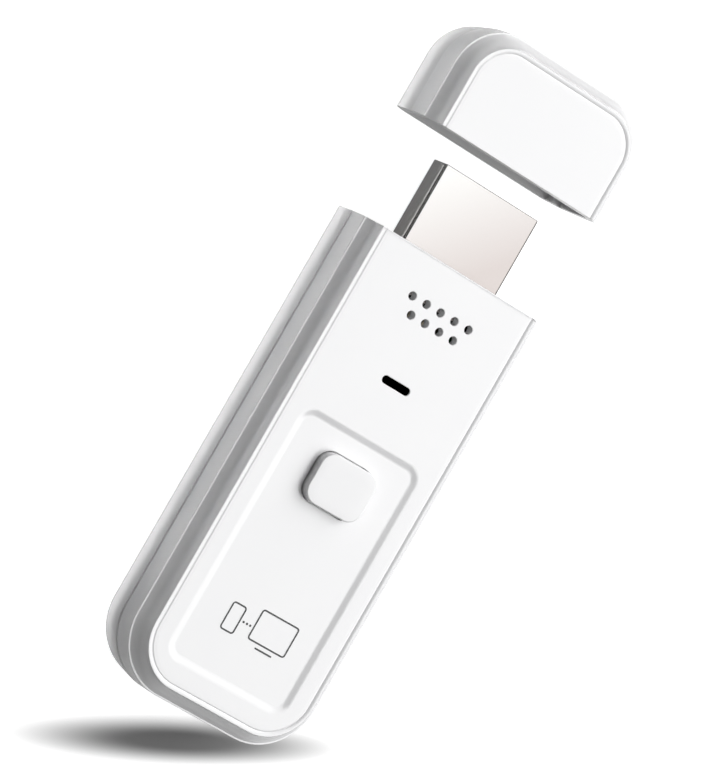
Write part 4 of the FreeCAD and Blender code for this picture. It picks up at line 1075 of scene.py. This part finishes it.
@dataclass
class PlugShell:
    """The folded metal shell of the display plug."""

    side: float = 3.0
    bevel: float = 1.35
    sheet: float = 0.3
    edge: float = 0.45
    edge_steps: int = 7
    fold: float = 0.3
    tip_round: float = 0.12
    tip_round_steps: int = 3
    tip_corner: float = 0.4
    tip_corner_steps: int = 6
    window: Pair = (2.2, 1.6)
    window_across: float = 3.1
    window_setback: float = 4.6
    window_round: float = 0.25
    window_round_steps: int = 4
    window_overlap: float = 0.2
    seam: Pair = (0.1, 0.08)  # width and depth

    def __post_init__(self) -> None:
        """Reads the plug's box from the frame."""
        self.box = Extent.of("hdmi_shell")

    def section_block(self, name: str, grow: float, start: float, end: float) -> Workpiece:
        """A block along the stick with the plug's section, its lower corners turned in.

        Args:
            name: the piece's name.
            grow: how much larger than the shell it is all round.
            start: its first place along Y.
            end: its last place along Y.
        Returns:
            The block.
        """
        low = Vector((self.box.low.x - grow, start, self.box.low.z - grow))
        high = Vector((self.box.high.x + grow, end, self.box.high.z + grow))
        block = Workpiece.block(name, low, high)
        slant = math.atan(self.bevel / (self.box.high.z - self.box.low.z - self.side))
        turn = self.box.high.z - self.side - grow * math.tan(slant / 2)
        narrow = self.box.high.x - self.bevel + grow * math.tan((math.pi / 2 - slant) / 2)
        with block.edit(Element.FACE):
            bpy.ops.mesh.bisect(plane_co=(0, 0, turn), plane_no=(0, 0, 1))
            block.pick(Element.CORNER, lambda corner: abs(corner.co.z - low.z) < NEAR)
            bpy.ops.transform.resize(value=(narrow / high.x, 1, 1), center_override=(0, 0, low.z))
        return block

    def build(self) -> None:
        """Makes and dresses the shell."""
        low, high = self.box.low, self.box.high
        shell = self.section_block("plug_shell", 0.0, low.y, high.y)
        shell.bevel_edges(self.edge, self.edge_steps,
                          lambda edge: along_stick(edge) and edge.calc_face_angle(0) > self.fold)
        shell.bevel_edges(self.tip_round, self.tip_round_steps, lambda edge: at(edge, Y, high.y))
        plan = Workpiece.plate("plug_plan", (low.x, low.y - CLEAR), (high.x, high.y), low.z - CLEAR)
        plan.round_corners(self.tip_corner, self.tip_corner_steps,
                           lambda corner: abs(corner.co.y - high.y) < NEAR)
        plan.raise_up([(0, high.z - low.z + 2 * CLEAR)])
        shell.combine(plan, "INTERSECT")
        inside = self.section_block("plug_inside", -self.sheet, low.y - CLEAR, high.y + CLEAR)
        width, depth = self.seam
        seam = Workpiece.block("seam", (-width / 2, low.y - CLEAR, low.z - CLEAR),
                               (width / 2, high.y + CLEAR, low.z + depth))
        shell.cut(inside, self.latch_window(-1), self.latch_window(1), seam)
        shell.settle(Body.HOUSING, "plug_nickel", PLUG_NICKEL, "hdmi_shell")

    def latch_window(self, side: int) -> Workpiece:
        """The cutter of the latch window on one side of the shell's back."""
        width, length = self.window
        half = Vector((width / 2, length / 2, self.sheet))
        middle = Vector((side * self.window_across, self.box.high.y - self.window_setback, self.box.low.z))
        window = Workpiece.block("window", middle - half,
                                 middle + half + Vector((0, 0, self.window_overlap)))
        window.bevel_edges(self.window_round, self.window_round_steps, upright)
        return window


@dataclass
class Cap:
    """The pull-off cap, one moulding with ribs that grip the plug."""

    corner: float = 6.2
    end_wall: float = 1.3
    mouth_edge: float = 0.025
    back_step: float = 1.2
    rib_count: int = 3
    rib_spacing: float = 4.2
    rib_thickness: float = 0.8
    rib_setback: float = 2.0
    rib_gap: float = 0.1
    side_rib_length: float = 4.5
    section: EdgeSection = EdgeSection()

    def __post_init__(self) -> None:
        """Reads the cap's box from the frame."""
        box = Extent.of("cap_shell")
        self.crease = box.high.z - self.section.band_drop
        self.parting = Housing().parting
        self.plan = StickPlan(box.high.x, box.low.y, box.high.y, self.corner)

    def build(self) -> None:
        """Makes and dresses the cap."""
        cap = self.plan.plate("cap", self.parting, True)
        cap.raise_up(self.section.front(self.parting, self.crease))
        cap.grow_down(self.parting, self.section.rear(self.parting))
        cap.trim(self.plan.square_end, -1, self.mouth_edge)
        cap.cut(self.room())
        cap.settle(Body.CAP, "cap_plastic", CAP_PLASTIC, "cap_shell")

    def room(self) -> Workpiece:
        """The space inside the cap, without its ribs."""
        room = self.plan.plate("cap_room", self.crease, False, WALL, self.end_wall)
        deep = self.crease - self.section.back_round
        room.raise_up([(0, deep), (self.back_step, deep + NEAR), (self.back_step, self.crease - WALL)])
        room.trim(self.plan.square_end - CLEAR, -1, 0)
        plug = Extent.of("hdmi_shell")
        start, far = self.plan.square_end + self.rib_setback, self.plan.round_end
        half = self.rib_thickness / 2
        for number in range(self.rib_count):
            across = (number - (self.rib_count - 1) / 2) * self.rib_spacing
            left, right = across - half, across + half
            room.cut(Workpiece.block("rib", (left, start, plug.high.z + self.rib_gap),
                                     (right, far, self.crease + CLEAR)),
                     Workpiece.block("rib", (left, start, 0), (right, far, plug.low.z - self.rib_gap)))
        level = plug.high.z - PlugShell().side / 2
        end = start + self.side_rib_length
        for side in (-1, 1):
            near, wall = side * (plug.high.x + self.rib_gap), side * self.plan.half_width
            room.cut(Workpiece.block("rib", (min(near, wall), start, level - half),
                                     (max(near, wall), end, level + half)))
        return room


class InnerParts:
    """The parts inside, which keep the shape of their CAD nodes."""

    def build(self) -> None:
        """Puts each finish in its nodes' material slots."""
        for finish, nodes in INNER_FINISHES.items():
            for node in nodes:
                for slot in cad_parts[node].material_slots:
                    slot.material = material_of(finish)
                LOG.info("%s: %s", node, finish.name)


@dataclass(frozen=True)
class Lamp:
    """A soft box that looks at a target, from a distance along a way."""

    name: str
    way: Place
    size: Pair
    power: float
    target: Place = (0, 0.013, 0.006)
    distance: float = 0.6
    spread: float = 180.0

    def build(self) -> None:
        """Hangs the lamp, looking at its target."""
        data = bpy.data.lights.new(self.name, "AREA")
        data.shape = "RECTANGLE"
        data.size, data.size_y = self.size
        data.energy = self.power
        data.spread = math.radians(self.spread)
        lamp = bpy.data.objects.new(self.name, data)
        way = Vector(self.way).normalized()
        lamp.location = Vector(self.target) + way * self.distance
        lamp.rotation_euler = (-way).to_track_quat("-Z", "Y").to_euler()
        bpy.context.scene.collection.objects.link(lamp)


@dataclass
class Studio:
    """Camera, floor and soft light, in metres. The painted shadow is an ellipse on the floor, where the
    floor's colour is painted darker.
    """

    world: float = 0.05
    floor_size: float = 6.0
    floor_roughness: float = 0.9
    floor_shade: float = 0.5
    # painted shadow: the floor's colour at the middle of the patch, darker than floor_shade
    painted_shadow_shade: float = 0.2
    glow: float = 0.95
    shadow_glow: float = 0.0
    mirrored_glow: float = 0.2
    shadow_place: Point = (0.0048, -0.0321)
    shadow_size: Pair = (0.028, 0.0037)
    shadow_turn: float = 23.0
    shadow_core: float = 0.8
    aim: Place = (-0.004034, 0.011905, 0.009771)
    right: Place = (0.756435, 0.498596, 0.423329)
    up: Place = (-0.452791, 0.866246, -0.211183)
    camera_distance: float = 0.6
    lens: float = 255.5
    sensor: float = 36.0
    near_clip: float = 0.01
    lamps: tuple[Lamp, ...] = (
        Lamp("key", way=(0.42, 0.78, 0.47), size=(0.5, 0.5), power=1.3),
        Lamp("face_light", way=(0.53, 0.22, 0.82), size=(0.72, 0.72), power=4.5),
        Lamp("floor_light", way=(0, 0, 1), size=(0.1235, 0.125), power=0.112,
             target=(-0.0785, 0.045, 0), distance=0.12, spread=1.5),
        Lamp("edge_light", way=(-0.67, 0, 0.74), size=(1.0, 0.03), power=0.35, distance=0.7),
        Lamp("base_light", way=(-1, 0, 0), size=(0.11, 0.0036), power=0.00105,
             target=(-0.015, 0.012, 0.0022), distance=0.15, spread=1.5),
    )

    def build(self) -> None:
        """Makes the whole studio."""
        self.camera()
        self.floor()
        self.sky()
        for lamp in self.lamps:
            lamp.build()

    def camera(self) -> None:
        """The camera at the photograph's angle."""
        data = bpy.data.cameras.new("camera")
        data.sensor_width = self.sensor
        data.lens = self.lens
        data.clip_start = self.near_clip
        camera = bpy.data.objects.new("camera", data)
        right, up = Vector(self.right), Vector(self.up)
        back = right.cross(up).normalized()
        turn = Matrix((right, up, back)).transposed().to_4x4()
        camera.matrix_world = Matrix.Translation(Vector(self.aim) + back * self.camera_distance) @ turn
        bpy.context.scene.collection.objects.link(camera)
        bpy.context.scene.camera = camera

    def floor(self) -> None:
        """A pale floor, lifted to white where the camera sees it outside the painted shadow's patch, and
        painted darker inside it.
        """
        clear_selection()
        bpy.ops.mesh.primitive_plane_add(size=self.floor_size, location=(0, 0, 0))
        floor = bpy.context.active_object
        floor.name = "floor"
        bench = NodeBench("floor")
        bench.set("Roughness", self.floor_roughness)
        bench.set("Specular IOR Level", 0.0)
        bench.set("Emission Color", (1, 1, 1, 1))
        painted_shadow_mask = self.painted_shadow_mask(bench)
        # painted shadow: inside the patch the floor's colour is painted darker, and the lift to white fades
        # out so the real shadow shows there too
        shade = bench.scaled(painted_shadow_mask, self.floor_shade, self.painted_shadow_shade, self.shadow_core, "SMOOTHSTEP")
        glow = bench.scaled(painted_shadow_mask, self.glow, self.shadow_glow, self.shadow_core, "SMOOTHSTEP")
        bench.drive("Base Color", shade)
        bench.drive("Emission Strength", bench.combine("MULTIPLY", self.seen(bench), glow))
        floor.data.materials.append(bench.material)

    def seen(self, bench: NodeBench) -> Socket:
        """1 for what the camera sees, less for what is mirrored or seen through, otherwise 0."""
        rays = bench.node("LightPath").outputs
        mirrored = bench.combine("MAXIMUM", rays["Is Glossy Ray"], rays["Is Transmission Ray"])
        return bench.combine("MAXIMUM", rays["Is Camera Ray"],
                             bench.combine("MULTIPLY", mirrored, self.mirrored_glow))

    def painted_shadow_mask(self, bench: NodeBench) -> Socket:
        """The painted shadow's mask: a number that grows from 0 at the rim of its patch to 1 at its middle.
        """
        ellipse = bench.node("Mapping", vector_type="TEXTURE", location=(*self.shadow_place, 0),
                             rotation=(0, 0, math.radians(self.shadow_turn)), scale=(*self.shadow_size, 1))
        bench.link(bench.place, ellipse.inputs["Vector"])
        inward = bench.node("TexGradient", gradient_type="SPHERICAL")
        bench.link(ellipse.outputs["Vector"], inward.inputs["Vector"])
        return inward.outputs["Fac"]

    def sky(self) -> None:
        """Even, dim light from all round."""
        world = bpy.data.worlds.new("studio")
        world.use_nodes = True
        back = world.node_tree.nodes["Background"]
        back.inputs["Color"].default_value = (1, 1, 1, 1)
        back.inputs["Strength"].default_value = self.world
        bpy.context.scene.world = world


def main() -> None:
    """Builds the sub-assemblies in order and reports each one."""
    logging.basicConfig(level=logging.INFO, format="%(message)s")
    bpy.context.scene.view_settings.view_transform = "Standard"
    for sub_assembly in (Housing(), Button(), PlugShell(), Cap(), InnerParts(), Studio()):
        LOG.info("%s", type(sub_assembly).__name__)
        sub_assembly.build()


if __name__ == "__main__":
    main()
